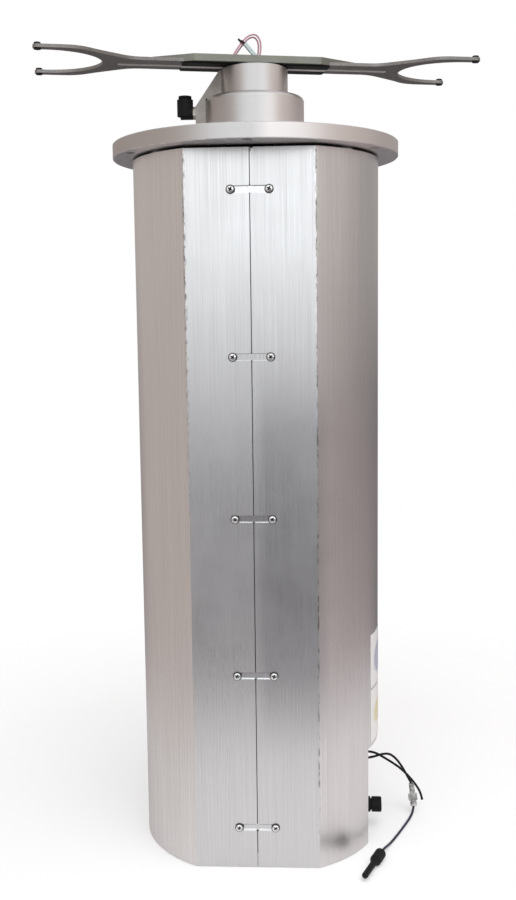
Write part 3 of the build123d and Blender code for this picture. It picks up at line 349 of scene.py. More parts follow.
def studio_world():
    world = bpy.data.worlds.new("studio")
    world.use_nodes = True
    world.node_tree.nodes.clear()
    kit = Tree(world.node_tree)
    towards = kit.add("ShaderNodeTexCoord").outputs["Generated"]
    parts = kit.split(towards)
    facing = kit.add("ShaderNodeVectorMath", operation="DOT_PRODUCT")
    kit.feed(towards, facing.inputs[0])
    facing.inputs[1].default_value = WINDOW_TOWARDS
    above_sill = kit.span(parts["Z"], -0.07, 0.05)
    window = kit.times(above_sill, kit.span(facing.outputs["Value"], 0.56, 0.88))
    left_wall = kit.span(parts["X"], -0.75, -0.25, 1.0, 0.0)
    right_wall = kit.span(parts["X"], 0.35, 0.80)
    back_wall = kit.span(parts["Y"], -0.10, 0.50, 0.0, 0.7)
    ceiling = kit.span(parts["Z"], 0.35, 0.85)
    skirting = kit.span(parts["Z"], -0.40, -0.12, 1.0, 0.0)
    low = kit.mix(right_wall, FLOOR_BEYOND, kit.mix(skirting, RIGHT_WALL_LOW, RIGHT_SKIRTING))
    low = kit.mix(left_wall, low, LEFT_WALL_LOW)
    high = kit.mix(back_wall, FRONT_WALL, BACK_WALL)
    high = kit.mix(left_wall, high, LEFT_WALL)
    tone = kit.mix(above_sill, low, high)
    tone = kit.mix(ceiling, tone, CEILING)
    tone = kit.mix(window, tone, WINDOW)
    room = kit.add("ShaderNodeBackground")
    kit.feed(tone, room.inputs["Color"])
    seen = kit.add("ShaderNodeBackground")
    seen.inputs["Color"].default_value = (1, 1, 1, 1)
    choose = kit.add("ShaderNodeMixShader")
    kit.feed(kit.add("ShaderNodeLightPath").outputs["Is Camera Ray"], choose.inputs["Fac"])
    kit.feed(room.outputs[0], choose.inputs[1])
    kit.feed(seen.outputs[0], choose.inputs[2])
    kit.feed(choose.outputs[0], kit.add("ShaderNodeOutputWorld").inputs["Surface"])
    return world


bpy.context.scene.world = studio_world()
print("the window lies towards", WINDOW_TOWARDS)

# %% [markdown]
# ## Shared surface effects
#
# Brushed grain, lathe rings, the painted rim highlight and soiling come up on many pieces. Each
# is one node group with named inputs, and every material sets its own values. They read Object
# coordinates, because every piece sits at the origin: a pattern then keeps its scale in metres.

# %% Node groups with named sockets


def new_group(name, inputs, outputs):
    """Empty node group: inputs are numbers or vectors with a start value, outputs are masks."""
    tree = bpy.data.node_groups.new(name, "ShaderNodeTree")
    for title, start in inputs.items():
        kind = "NodeSocketVector" if isinstance(start, tuple) else "NodeSocketFloat"
        socket = tree.interface.new_socket(title, in_out="INPUT", socket_type=kind)
        socket.default_value = start
    for title in outputs:
        tree.interface.new_socket(title, in_out="OUTPUT", socket_type="NodeSocketFloat")
    kit = Tree(tree)
    return tree, kit, kit.add("NodeGroupInput").outputs, kit.add("NodeGroupOutput").inputs


def counted(tree):
    """Prints how many nodes a tree took, and hands it on."""
    print(tree.name, "has", len(tree.nodes), "nodes")
    return tree


print("groups so far:", len(bpy.data.node_groups))

# %% [markdown]
# Brushed grain is thousands of fine straight scratches. A noise that is squeezed across the
# grain and stretched along it gives them, and a second, wider one gives the slow bands that a
# belt sander leaves. The grain direction is a vector of scales, so one group serves all.

# %% Brushed grain


def make_brushed_grain():
    tree, kit, given, result = new_group(
        "brushed grain",
        {"Scales": (1900.0, 1900.0, 7.0), "Band Scales": (90.0, 90.0, 0.8)},
        ["Grain", "Bands"],
    )
    place = kit.place()
    fine = kit.noise(kit.scaled(place, given["Scales"]), 1.0, 4.0, 0.6)
    wide = kit.noise(kit.scaled(place, given["Band Scales"]), 1.0, 2.0, 0.5)
    kit.feed(kit.span(fine, 0.3, 0.7), result["Grain"])
    kit.feed(kit.span(wide, 0.3, 0.7), result["Bands"])
    return tree


BRUSHED_GRAIN = counted(make_brushed_grain())

# %% [markdown]
# A lathe leaves rings. On a rim they run level, and on a face they are circles about the axis.
# Both follow from two numbers, the distance from the axis and the height, so a noise of those
# two gives rings everywhere on a turned piece.

# %% Lathe rings


def make_lathe_rings():
    tree, kit, given, result = new_group("lathe rings", {"Scale": 2600.0}, ["Rings", "Sweep"])
    place = kit.place()
    parts = kit.split(place)
    across = kit.reach(parts["X"], parts["Y"])
    pair = kit.add("ShaderNodeCombineXYZ")
    kit.feed(across, pair.inputs["X"])
    kit.feed(parts["Z"], pair.inputs["Y"])
    rings = kit.noise(pair.outputs[0], given["Scale"], 3.0, 0.6)
    sweep = kit.noise(kit.scaled(place, (14.0, 14.0, 3.0)), 1.0, 2.0, 0.5)
    kit.feed(kit.span(rings, 0.3, 0.7), result["Rings"])
    kit.feed(kit.span(sweep, 0.3, 0.7), result["Sweep"])
    return tree


LATHE_RINGS = counted(make_lathe_rings())

# %% [markdown]
# A painted highlight runs along the rims, where two faces meet. For a piece whose edges lie at
# known heights the mask needs only the distance to them: a thin band, broken up by noise.

# %% Painted rim highlight


def make_rim_highlight():
    tree, kit, given, result = new_group(
        "rim highlight",
        {"Low Edge": 0.0, "High Edge": 1.0, "Width": 0.0012, "Break Up": 160.0},
        ["Wear"],
    )
    place = kit.place()
    parts = kit.split(place)
    gaps = [kit.math("ABSOLUTE", kit.less(parts["Z"], given[edge]))
            for edge in ("Low Edge", "High Edge")]
    widths = kit.math("DIVIDE", kit.math("MINIMUM", *gaps), given["Width"])
    near = kit.span(widths, 0.0, 1.0, 1.0, 0.0)
    patches = kit.span(kit.noise(place, given["Break Up"], 4.0, 0.65), 0.45, 0.62)
    kit.feed(kit.times(near, kit.span(patches, 0.0, 1.0, 0.55, 1.0)), result["Wear"])
    return tree


RIM_HIGHLIGHT = counted(make_rim_highlight())

# %% [markdown]
# Dust and finger marks are soft and large, with a scatter of small specks. They dull the
# shine more than they change the colour.

# %% Soiling


def make_soiling():
    tree, kit, given, result = new_group(
        "soiling", {"Patch Scale": 9.0, "Speck Scale": 420.0}, ["Film", "Specks"],
    )
    place = kit.place()
    film = kit.noise(place, given["Patch Scale"], 4.0, 0.55)
    specks = kit.noise(place, given["Speck Scale"], 2.0, 0.5)
    kit.feed(kit.span(film, 0.42, 0.70), result["Film"])
    kit.feed(kit.span(specks, 0.68, 0.74), result["Specks"])
    return tree


SOILING = counted(make_soiling())

# %% [markdown]
# ## Aluminium
#
# The covers are sheet, folded at the two sides of the facet. Handling has dinged these upright
# folds: dark nicks on the left one and bright chips on the right one. The right fold also gets a
# painted shade at its foot, where it meets the bench. Each mark is a thin band along the fold,
# broken up by noise and kept between two heights. A table holds the three, so a fourth would be
# one more row.

# %% Marks along the folds
# name, side, how far it spreads, from and to which share of the height, noise scale, strength, tone
FOLD_MARKS = (
    # The first row is a painted shade at the foot of the right fold, where it meets the bench.
    ("crease", 1, 0.0013, 0.02, 0.10, 230.0, 0.75, (0.06, 0.055, 0.05, 1)),
    ("nicks", -1, 0.0022, 0.45, 0.80, 420.0, 0.80, (0.13, 0.12, 0.12, 1)),
    ("chips", 1, 0.0034, 0.55, 0.85, 560.0, 0.90, toned(0.95)),
)


def fold_mark(kit, side, spread, low, high, scale):
    """Mask of the marks along one upright fold of the facet."""
    place = kit.place()
    parts = kit.split(place)
    off_x = kit.less(parts["X"], side * FACET_HALF)
    off_y = kit.math("ADD", parts["Y"], FACET)
    close = kit.span(kit.reach(off_x, off_y), 0.0, spread, 1.0, 0.0)
    noise = kit.noise(kit.scaled(place, (scale, scale, scale * 0.35)), 1.0, 4.0, 0.7)
    patches = kit.span(noise, 0.50, 0.57)
    upper = kit.span(parts["Z"], HOUSING_TOP * low, HOUSING_TOP * high)
    return kit.times(kit.times(close, patches), upper)


print("marks on the folds:", [row[0] for row in FOLD_MARKS])

# %% [markdown]
# The right cover gets a painted reflection of the darker room: its tone is darker about its
# middle, and most on the facet. Three soft ramps, one across and two in height, say where.

# %% The painted dark reflection
DARK_REFLECTION_BLEND = 0.012


def painted_dark_reflection(kit):
    """Painted dark reflection on the right cover: strongest at half height and on the facet."""
    parts = kit.split(kit.place())
    right_of_seam = kit.span(parts["X"], 0.0, DARK_REFLECTION_BLEND)
    on_facet = kit.span(parts["X"], FACET_HALF, FACET_HALF + DARK_REFLECTION_BLEND, 1.0, 0.15)
    rise = kit.span(parts["Z"], HOUSING_TOP * 0.16, HOUSING_TOP * 0.28)
    fall = kit.span(parts["Z"], HOUSING_TOP * 0.62, HOUSING_TOP * 0.74, 1.0, 0.0)
    on_right_facet = kit.times(right_of_seam, on_facet)
    return kit.times(kit.times(on_right_facet, 0.5), kit.times(rise, fall))


print("darker between", rounded((HOUSING_TOP * 0.16, HOUSING_TOP * 0.74)), "m")

# %% [markdown]
# The punched slots have a rolled edge. A painted highlight stands for the light on its lower lip,
# and a painted shade for the shade under its upper one. The rows repeat, so the height is folded
# into one row first, and one pair of bands then serves all five.

# %% Painted light and shade on the slot lips
LIP_HALF = 0.0002
LIP_FADE = 0.0006


def from_row(kit, height):
    """Signed distance of a height from the nearest row of cover screws."""
    turns = kit.math("DIVIDE", kit.less(height, FIRST_ROW - ROW_PITCH / 2), ROW_PITCH)
    return kit.times(kit.less(kit.math("FRACT", turns), 0.5), ROW_PITCH)


def slot_lips(kit):
    """Painted highlight on the lower lips and painted shade under the upper lips, as two masks."""
    parts = kit.split(kit.place())
    rise = from_row(kit, parts["Z"])
    aside = kit.math("ABSOLUTE", parts["X"])
    inside = kit.span(aside, COLUMN_HALF + 0.0025, COLUMN_HALF + 0.004, 1.0, 0.0)
    front = kit.span(parts["Y"], 0.002 - FACET, 0.004 - FACET, 1.0, 0.0)
    masks = []
    for edge in (-SLOT_HALF, SLOT_HALF):
        near = kit.math("ABSOLUTE", kit.less(rise, edge))
        band = kit.span(near, LIP_HALF, LIP_FADE, 1.0, 0.0)
        masks.append(kit.times(band, kit.times(inside, front)))
    return masks


print(ROWS, "rows of slots,", round(ROW_PITCH, 4), "m apart")

# %% [markdown]
# The covers are brushed up and down and then anodised clear. The brushing spreads highlights
# sideways, and the anodising turns the metal slightly milky, so roughness is middling and
# follows the grain. The tone is built up in layers: grain, sanding bands, the painted dark
# reflection, a film of dust, and last the marks, with a painted shade among them, and the
# painted highlight and shade on the slot lips.

# %% Brushed cover
GRAIN_TONES = ((0.66, 0.65, 0.65, 1), (0.87, 0.865, 0.86, 1))
BAND_TONE = (0.74, 0.735, 0.735, 1)
DARK_REFLECTION_TONE = (0.42, 0.42, 0.43, 1)
DUST_TONE = (0.66, 0.62, 0.60, 1)
LIP_HIGHLIGHT = toned(0.97)
LIP_SHADE = toned(0.10)


def make_brushed_cover():
    kit = Finish("brushed_cover", 1.0, 0.30)
    grain = kit.use(BRUSHED_GRAIN)
    soil = kit.use(SOILING, Patch_Scale=7.0)
    tone = kit.mix(grain["Grain"], *GRAIN_TONES)
    tone = kit.mix(kit.times(grain["Bands"], 0.35), tone, BAND_TONE)
    # Painted reflection: a darker tone about the middle of the right cover.
    tone = kit.mix(painted_dark_reflection(kit), tone, DARK_REFLECTION_TONE)
    tone = kit.mix(kit.times(soil["Film"], 0.12), tone, DUST_TONE)
    # Among the fold marks is a painted shade at the foot of the right fold.
    for name, side, spread, low, high, scale, strength, mark_tone in FOLD_MARKS:
        mark = fold_mark(kit, side, spread, low, high, scale)
        tone = kit.mix(kit.times(mark, strength), tone, mark_tone)
    # Painted shade under each slot's upper lip and a painted highlight on its lower lip.
    lip_highlight, shade = slot_lips(kit)
    tone = kit.mix(kit.times(shade, 0.75), tone, LIP_SHADE)
    tone = kit.mix(kit.times(lip_highlight, 0.8), tone, LIP_HIGHLIGHT)
    kit.colour(tone)
    rough = kit.span(grain["Grain"], 0.0, 1.0, 0.34, 0.24)
    rough = kit.math("ADD", rough, kit.times(soil["Film"], 0.08))
    kit.feed(rough, kit.shader["Roughness"])
    kit.bump(grain["Grain"], 0.28, 0.00008)
    return kit.done()


brushed_cover = make_brushed_cover()

# %% [markdown]
# The flange, the head and the column come off a lathe. Their finish is satin with level lines.
# The rims get a painted highlight, the right side is painted lighter, and the left side and the
# sides that turn away get a brownish painted shade.

# %% Turned aluminium
OIL_TONE = (0.5, 0.46, 0.43, 1)
RIM_HIGHLIGHT_TONE = toned(0.90)
SIDE_SHADE_REACH = 0.012


def painted_side_shade(kit, parts):
    """Share of the brownish painted shade: most where the skin turns away, and on the left."""
    weight = kit.add("ShaderNodeLayerWeight")
    weight.inputs["Blend"].default_value = 0.5
    aside = kit.span(weight.outputs["Facing"], 0.15, 0.75, 0.0, 0.55)
    left = kit.span(parts["X"], -SIDE_SHADE_REACH, SIDE_SHADE_REACH, 1.0, 0.15)
    return kit.times(aside, left)


def make_turned(name, low, high, shade=0.62, rough_low=0.34, rough_high=0.42):
    kit = Finish(name, 1.0, 0.38)
    lathe = kit.use(LATHE_RINGS, Scale=5200.0)
    rim_light = kit.use(RIM_HIGHLIGHT, Low_Edge=low, High_Edge=high, Width=0.0011)
    soil = kit.use(SOILING, Patch_Scale=16.0)
    parts = kit.split(kit.place())
    tone = kit.mix(lathe["Rings"], toned(shade, 0.96, 0.94, 0.93), toned(shade, 1.04, 1.02, 1.01))
    tone = kit.mix(kit.times(lathe["Sweep"], 0.25), tone, toned(shade, 0.86, 0.79, 0.75))
    tone = kit.mix(kit.times(soil["Film"], 0.15), tone, OIL_TONE)
    # Painted shade: a darker brownish tone on the left and where the skin turns away.
    tone = kit.mix(painted_side_shade(kit, parts), tone, toned(shade, 0.66, 0.60, 0.575))
    # Painted light: the right side is painted lighter.
    right_side_light = kit.span(parts["X"], 0.004, 0.020, 0.0, 0.8)
    tone = kit.mix(right_side_light, tone, toned(shade, 1.42, 1.33, 1.29))
    # Painted highlight along the top and bottom rims.
    tone = kit.mix(rim_light["Wear"], tone, RIM_HIGHLIGHT_TONE)
    kit.colour(tone)
    kit.roughen(lathe["Rings"], rough_high, rough_low)
    kit.bump(lathe["Rings"], 0.10, 0.00002)
    return kit.done()


turned_flange = make_turned("turned_flange", flange_low.z, flange_high.z)
turned_base = make_turned("turned_head_base", head_low.z, head_high.z, 0.60)
turned_cap = make_turned("turned_head_cap", cap_low.z, cap_high.z, 0.60)
turned_column = make_turned("ground_column", 0.0, 1.0, 0.72, 0.14, 0.22)
print("rim highlight of the flange at", rounded((flange_low.z, flange_high.z)), "m")

# %% [markdown]
# The frame inside is cut from plate. A milling cutter leaves short fine arcs, which at this
# size read as a coarse, short grain, so the brushed grain group serves again with other scales.
# Little of it is seen, through the cut-out and the slots.

# %% Milled aluminium for the frame inside


def make_milled():
    kit = Finish("milled_aluminium", 1.0, 0.38)
    grain = kit.use(BRUSHED_GRAIN, Scales=(700.0, 700.0, 60.0), Band_Scales=(40.0, 40.0, 12.0))
    soil = kit.use(SOILING, Patch_Scale=22.0)
    tone = kit.mix(grain["Grain"], (0.62, 0.615, 0.61, 1), (0.74, 0.735, 0.73, 1))
    tone = kit.mix(kit.times(soil["Film"], 0.2), tone, (0.48, 0.46, 0.44, 1))
    kit.colour(tone)
    kit.roughen(grain["Bands"], 0.32, 0.46)
    kit.bump(grain["Grain"], 0.15, 0.00005)
    return kit.done()


milled_aluminium = make_milled()

# %% [markdown]
# The gusset is bead blasted: a fine, dull skin of tiny craters, which a small noise gives both
# as tone and as relief.

# %% Blasted gusset


def make_blasted():
    kit = Finish("blasted_aluminium", 0.9, 0.55)
    craters = kit.span(kit.noise(kit.place(), 2400.0, 4.0, 0.6), 0.35, 0.65)
    soil = kit.use(SOILING, Patch_Scale=40.0)
    tone = kit.mix(craters, (0.30, 0.275, 0.25, 1), (0.42, 0.385, 0.355, 1))
    tone = kit.mix(kit.times(soil["Film"], 0.4), tone, (0.24, 0.21, 0.19, 1))
    kit.colour(tone)
    kit.roughen(soil["Film"], 0.50, 0.62)
    kit.bump(craters, 0.25, 0.00008)
    return kit.done()


blasted_aluminium = make_blasted()

# %% [markdown]
# The strip behind the seam is the opposite: bright drawn metal that flashes in the screw slots.
# The gap between the two covers is narrow and deep, so the strip is painted near black there as
# painted shade, and again under the flange. The mask uses the same folded height as the slots.

# %% Bright strip
SEAM_HALF = 0.0010
SEAM_FADE = 0.0003
SEAM_SHADE_TONE = toned(0.012)


def make_bright_strip():
    kit = Finish("bright_strip", 1.0, 0.22)
    grain = kit.use(BRUSHED_GRAIN)
    parts = kit.split(kit.place())
    off_row = kit.math("ABSOLUTE", from_row(kit, parts["Z"]))
    off_seam = kit.math("ABSOLUTE", parts["X"])
    between_rows = kit.span(off_row, SLOT_HALF, SLOT_HALF + SEAM_FADE)
    in_seam = kit.span(off_seam, SEAM_HALF, SEAM_HALF + SEAM_FADE, 1.0, 0.0)
    under_flange = kit.span(parts["Z"], HOUSING_TOP - 0.0010, HOUSING_TOP - 0.0002)
    shaded_zone = kit.math("MAXIMUM", kit.times(between_rows, in_seam), under_flange)
    tone = kit.mix(grain["Grain"], toned(0.66), toned(0.86))
    # Painted shade: near black in the seam between the slots and under the flange.
    kit.colour(kit.mix(shaded_zone, tone, SEAM_SHADE_TONE))
    kit.roughen(shaded_zone, 0.22, 0.9)
    kit.bump(grain["Grain"], 0.10, 0.00004)
    return kit.done()


bright_strip = make_bright_strip()

# %% [markdown]
# The bar has three finishes. The clamp is anodised clear with a grey-green cast, the blades
# are hard anodised to a warm dark grey, and the plate under them is black. Anodising is a
# coat of oxide in the metal: still metallic, but matt and a little darker in the pores.

# %% Anodised finishes


def make_anodised(name, dark, light, low_rough, high_rough, metallic, pore_scale, gloss=0.5):
    kit = Finish(name, metallic, low_rough)
    pores = kit.span(kit.noise(kit.place(), pore_scale, 5.0, 0.6), 0.35, 0.65)
    soil = kit.use(SOILING, Patch_Scale=30.0)
    tone = kit.mix(pores, dark, light)
    dust = (*(1.5 * v for v in light[:3]), 1)
    tone = kit.mix(kit.times(soil["Specks"], 0.5), tone, dust)
    kit.colour(tone)
    kit.roughen(soil["Film"], low_rough, high_rough)
    kit.shader["Specular IOR Level"].default_value = gloss
    kit.bump(pores, 0.12, 0.00005)
    return kit.done()


clear_anodised = make_anodised(
    "clear_anodised", (0.21, 0.21, 0.18, 1), (0.28, 0.28, 0.245, 1), 0.42, 0.55, 0.85, 1800.0)
blade_anodised = make_anodised(
    "blade_anodised", (0.19, 0.18, 0.17, 1), (0.34, 0.32, 0.305, 1), 0.42, 0.54, 0.8, 900.0)
black_anodised = make_anodised(
    "black_anodised", toned(0.006), toned(0.014), 0.5, 0.65, 0.0, 1500.0, 0.15)

# %% [markdown]
# Shafts, rails and cap screws are ground or plated steel. They are smooth, so what shows is the
# room in them, and only a thin film of oil or dust breaks that up. One maker gives them all,
# and its last number turns the tone towards the brown of old nickel.

# %% Steel and nickel


def make_steel(name, shade, low_rough, high_rough, warm=0.0):
    kit = Finish(name, 1.0, low_rough)
    soil = kit.use(SOILING, Patch_Scale=60.0, Speck_Scale=900.0)
    texture = kit.span(kit.noise(kit.place(), 2600.0, 3.0, 0.6), 0.3, 0.7)
    clean = toned(shade, 1.0, 1 - 0.04 * warm, 1 - 0.10 * warm)
    dull = toned(shade, 0.72, 0.70 - 0.05 * warm, 0.68 - 0.12 * warm)
    kit.colour(kit.mix(kit.times(soil["Film"], 0.6), clean, dull))
    kit.roughen(soil["Film"], low_rough, high_rough)
    kit.bump(texture, 0.05, 0.00003)
    return kit.done()


bright_nickel = make_steel("bright_nickel", 0.82, 0.14, 0.3)
ground_steel = make_steel("ground_steel", 0.66, 0.22, 0.36)
dull_nickel = make_steel("dull_nickel", 0.42, 0.35, 0.5, warm=1.5)

# %% [markdown]
# The pan heads are plated and shiny, so they show the room in hard light and dark. A painted shade
# darkens the cross and the ring round the foot of each head. Both follow from the distance to the
# nearest screw's axis, in shares of the head's radius, and from the depth below its crown.

# %% Plated screw heads
PLATING_TONE = toned(0.88)
TARNISH_TONE = (0.40, 0.39, 0.38, 1)
SCREW_SHADE_TONE = (0.012, 0.011, 0.010, 1)


def make_plated_screw():
    kit = Finish("plated_screw", 1.0, 0.10)
    parts = kit.split(kit.place())
    across = kit.less(kit.math("ABSOLUTE", parts["X"]), COLUMN_HALF)
    rise = from_row(kit, parts["Z"])
    out = kit.reach(across, rise)
    rim = kit.span(out, HEAD_R * 0.72, HEAD_R * 0.86)
    middle = kit.span(out, HEAD_R * 0.58, HEAD_R * 0.70, 1.0, 0.0)
    depth = kit.math("ADD", parts["Y"], FACET + HEAD_H)
    recess = kit.times(middle, kit.span(depth, 0.00025, 0.0008))
    soil = kit.use(SOILING, Patch_Scale=700.0, Speck_Scale=2400.0)
    screw_shade = kit.math("MAXIMUM", recess, kit.times(rim, 0.92))
    tone = kit.mix(kit.times(soil["Film"], 0.5), PLATING_TONE, TARNISH_TONE)
    # Painted shade in the cross and in the ring round the foot of each head.
    kit.colour(kit.mix(screw_shade, tone, SCREW_SHADE_TONE))
    kit.roughen(screw_shade, 0.09, 0.5)
    kit.bump(soil["Film"], 0.08, 0.00005)
    return kit.done()


plated_screw = make_plated_screw()

# %% [markdown]
# ## Plastic, rubber and insulation
#
# Moulded plastic has a fine spark-eroded skin, rubber is duller, and paint has a thin clear
# coat. They differ only in tone, roughness and skin, so one maker with a few numbers covers
# them.

# %% Plastics


def make_moulded(name, base, worn, low_rough, high_rough, skin=1200.0, coat=0.0, gloss=0.5):
    kit = Finish(name, 0.0, low_rough)
    texture = kit.span(kit.noise(kit.place(), skin, 3.0, 0.6), 0.3, 0.7)
    soil = kit.use(SOILING, Patch_Scale=45.0, Speck_Scale=1400.0)
    tone = kit.mix(kit.times(soil["Film"], 0.5), base, worn)
    kit.colour(tone)
    kit.roughen(soil["Film"], low_rough, high_rough)
    kit.shader["Coat Weight"].default_value = coat
    kit.shader["Specular IOR Level"].default_value = gloss
    kit.bump(texture, 0.1, 0.00008)
    return kit.done()


black_plastic = make_moulded(
    "black_plastic", toned(0.006), (0.018, 0.017, 0.016, 1), 0.5, 0.7, gloss=0.2)
tip_plastic = make_moulded(
    "tip_stop_plastic", (0.012, 0.011, 0.011, 1), (0.035, 0.032, 0.03, 1), 0.5, 0.65, gloss=0.2)
black_rubber = make_moulded(
    "black_rubber", toned(0.014), (0.04, 0.038, 0.036, 1), 0.6, 0.8, 700.0)
motor_paint = make_moulded(
    "motor_paint", (0.02, 0.02, 0.022, 1), (0.04, 0.04, 0.042, 1), 0.35, 0.5, 900.0, coat=0.2)
white_nylon = make_moulded("white_nylon", (0.74, 0.73, 0.71, 1), (0.62, 0.60, 0.58, 1), 0.45, 0.6)
pale_nylon = make_moulded(
    "pale_connector", (0.36, 0.46, 0.46, 1), (0.66, 0.70, 0.70, 1), 0.3, 0.5, 800.0)

# %% [markdown]
# The leads wear three insulations: black, a black that is nearly blue, and pink. It is drawn
# out of a die and not moulded, so its skin has wider, softer waves than the plastics above.

# %% Lead insulation
black_insulation = make_moulded(
    "black_insulation", (0.004, 0.004, 0.005, 1), (0.013, 0.013, 0.015, 1), 0.46, 0.6, 500.0,
    gloss=0.25)
blue_insulation = make_moulded(
    "blue_black_insulation", (0.012, 0.011, 0.035, 1), (0.03, 0.028, 0.07, 1), 0.32, 0.45, 500.0)
pink_insulation = make_moulded(
    "pink_insulation", (0.44, 0.22, 0.27, 1), (0.54, 0.32, 0.36, 1), 0.35, 0.5, 500.0)

# %% [markdown]
# The splice is grey nylon that lets a little light through. A small share of subsurface
# scattering gives it that depth, and a cloudy tone stands for the wires seen dimly inside.

# %% Milky nylon


def make_milky_nylon():
    kit = Finish("milky_nylon", 0.0, 0.35)
    cloud = kit.span(kit.noise(kit.place(), 260.0, 3.0, 0.6), 0.35, 0.65)
    kit.colour(kit.mix(cloud, toned(0.10), (0.50, 0.50, 0.49, 1)))
    kit.roughen(cloud, 0.28, 0.42)
    kit.shader["Subsurface Weight"].default_value = 0.25
    kit.shader["Subsurface Scale"].default_value = 0.002
    kit.bump(cloud, 0.2, 0.0002)
    return kit.done()


milky_nylon = make_milky_nylon()

# %% [markdown]
# The two stickers are plain film. They carry no words or signs: the upper one has a soft lilac
# disc and the lower one a soft yellow oval, both faded.

# %% Blank stickers
label_low, label_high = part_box("label_blanks")
LABEL_MIDDLE_Y = (label_low.y + label_high.y) / 2
LABEL_HEIGHT = label_high.z - label_low.z
# share of the height, half width, half height and tone of each printed field
LABEL_FIELDS = (
    (0.75, 0.019, 0.017, (0.40, 0.41, 0.55, 1)),
    (0.24, 0.020, 0.013, (0.70, 0.62, 0.34, 1)),
)


def make_label_film():
    kit = Finish("label_film", 0.0, 0.4)
    parts = kit.split(kit.place())
    across = kit.less(parts["Y"], LABEL_MIDDLE_Y)
    soil = kit.use(SOILING, Patch_Scale=40.0)
    tone = kit.mix(kit.times(soil["Film"], 0.3), (0.84, 0.83, 0.82, 1), (0.74, 0.71, 0.68, 1))
    for share, half_wide, half_tall, colour in LABEL_FIELDS:
        rise = kit.less(parts["Z"], label_low.z + share * LABEL_HEIGHT)
        wide = kit.math("POWER", kit.math("DIVIDE", across, half_wide), 2.0)
        tall = kit.math("POWER", kit.math("DIVIDE", rise, half_tall), 2.0)
        field = kit.span(kit.math("ADD", wide, tall), 0.7, 1.1, 1.0, 0.0)
        tone = kit.mix(kit.times(field, 0.85), tone, colour)
    kit.colour(tone)
    kit.roughen(soil["Film"], 0.32, 0.5)
    kit.bump(soil["Film"], 0.08, 0.0002)
    return kit.done()


label_film = make_label_film()
print("stickers", round(LABEL_HEIGHT, 3), "m tall together")

# %% [markdown]
# ## Dressing the pieces of the frame
#
# Pieces whose shape is already right keep it and only take a finish. Giving a finish means
# filling the object's material slots, and nothing in the mesh changes.

# %% Finishes on the frame's own pieces
FINISH = {
    brushed_cover: ["cover_left", "cover_right"],
    turned_flange: ["mounting_flange"],
    turned_base: ["head_base"],
    turned_cap: ["head_cap"],
    turned_column: ["column"],
    milled_aluminium: [
        "base_plate", "rear_spine", "side_posts", "connector_panel", "z_motor_bracket",
        "screw_block_lower", "screw_block_upper", "carriage", "screw_pulley", "z_motor_pulley",
        "theta_coupling", "home_flag",
    ],
    blasted_aluminium: ["gusset"],
    bright_strip: ["front_post"],
    clear_anodised: ["arm_block"],
    blade_anodised: ["blade_right", "blade_left"],
    black_anodised: ["arm_plate"],
    bright_nickel: ["spindle_shaft"],
    white_nylon: ["vacuum_strips"],
    ground_steel: [
        "socket_screws", "guide_rails", "rail_blocks", "ball_nut", "ball_screw", "column_screws",
        "bearing_upper", "bearing_lower", "theta_motor_shaft", "arm_screws",
    ],
    dull_nickel: ["fitting_stud"],
    black_plastic: ["fitting_body", "release_collar", "connector_shell", "connector_ring",
                    "home_sensor", "loop_tie", "lead_plug"],
    tip_plastic: ["tip_pads"],
    black_rubber: ["column_seal", "lead_grommet", "z_belt", "stop_bumper"],
    pale_nylon: ["loop_connector"],
    milky_nylon: ["lead_splice"],
    label_film: ["label_blanks"],
    motor_paint: ["z_motor", "theta_motor"],
}


def dress(piece, material):
    piece.data.materials.clear()
    piece.data.materials.append(material)


for finish, names in FINISH.items():
    for name in names:
        dress(nodes[name], finish)
print(sum(len(names) for names in FINISH.values()), "pieces dressed")

# %% [markdown]
# ## Cover screws
#
# Ten pan head screws stand in five rows of two. One head is modelled with its dome and its
# tapered cross, and Geometry Nodes put a copy at every place of a small grid. A head is a
# turned shape, so its skin is a profile of radius and height carried round an axis.

# %% Turned skins and smooth meshes
SMOOTH_ANGLE = math.radians(35.0)


def turned_skin(edit, profile, segments):
    """Turns a profile of (radius, height) pairs about the Y axis into a closed skin."""
    rings = []
    for radius, height in profile:
        turns = [2 * math.pi * i / segments for i in range(segments)]
        spots = [(radius * math.cos(turn), height, radius * math.sin(turn)) for turn in turns]
        rings.append([edit.verts.new(spot) for spot in spots])
    for lower, upper in zip(rings, rings[1:]):
        for i in range(segments):
            j = (i + 1) % segments
            edit.faces.new((lower[i], lower[j], upper[j], upper[i]))
    edit.faces.new(list(reversed(rings[0])))
    edit.faces.new(rings[-1])


def finished_mesh(edit, name):
    """Mesh from a bmesh, with its faces outwards, smooth except at sharp edges."""
    bmesh.ops.recalc_face_normals(edit, faces=edit.faces)
    mesh = bpy.data.meshes.new(name)
    for edge in edit.edges:
        edge.smooth = len(edge.link_faces) == 2 and edge.calc_face_angle(0.0) < SMOOTH_ANGLE
    for face in edit.faces:
        face.smooth = True
    edit.to_mesh(mesh)
    edit.free()
    return mesh


print("edges sharper than", round(math.degrees(SMOOTH_ANGLE)), "degrees stay crisp")

# %% [markdown]
# The head has a short straight foot, a dome, and a small flat crown. The cross tapers as it
# goes in, as the tip of a driver does: two crossed bars, each wider at the top than at its
# floor, are cut away with a Boolean.

# %% One pan head
DOME_STEPS = 9
HEAD_SEGMENTS = 48
FOOT_H = 0.0006
CROWN = 0.36
CROSS_DEPTH = 0.0017
CROSS_CLEAR = 0.0004
CROSS_TOP = (0.62, 0.16)
CROSS_FLOOR = (0.28, 0.10)


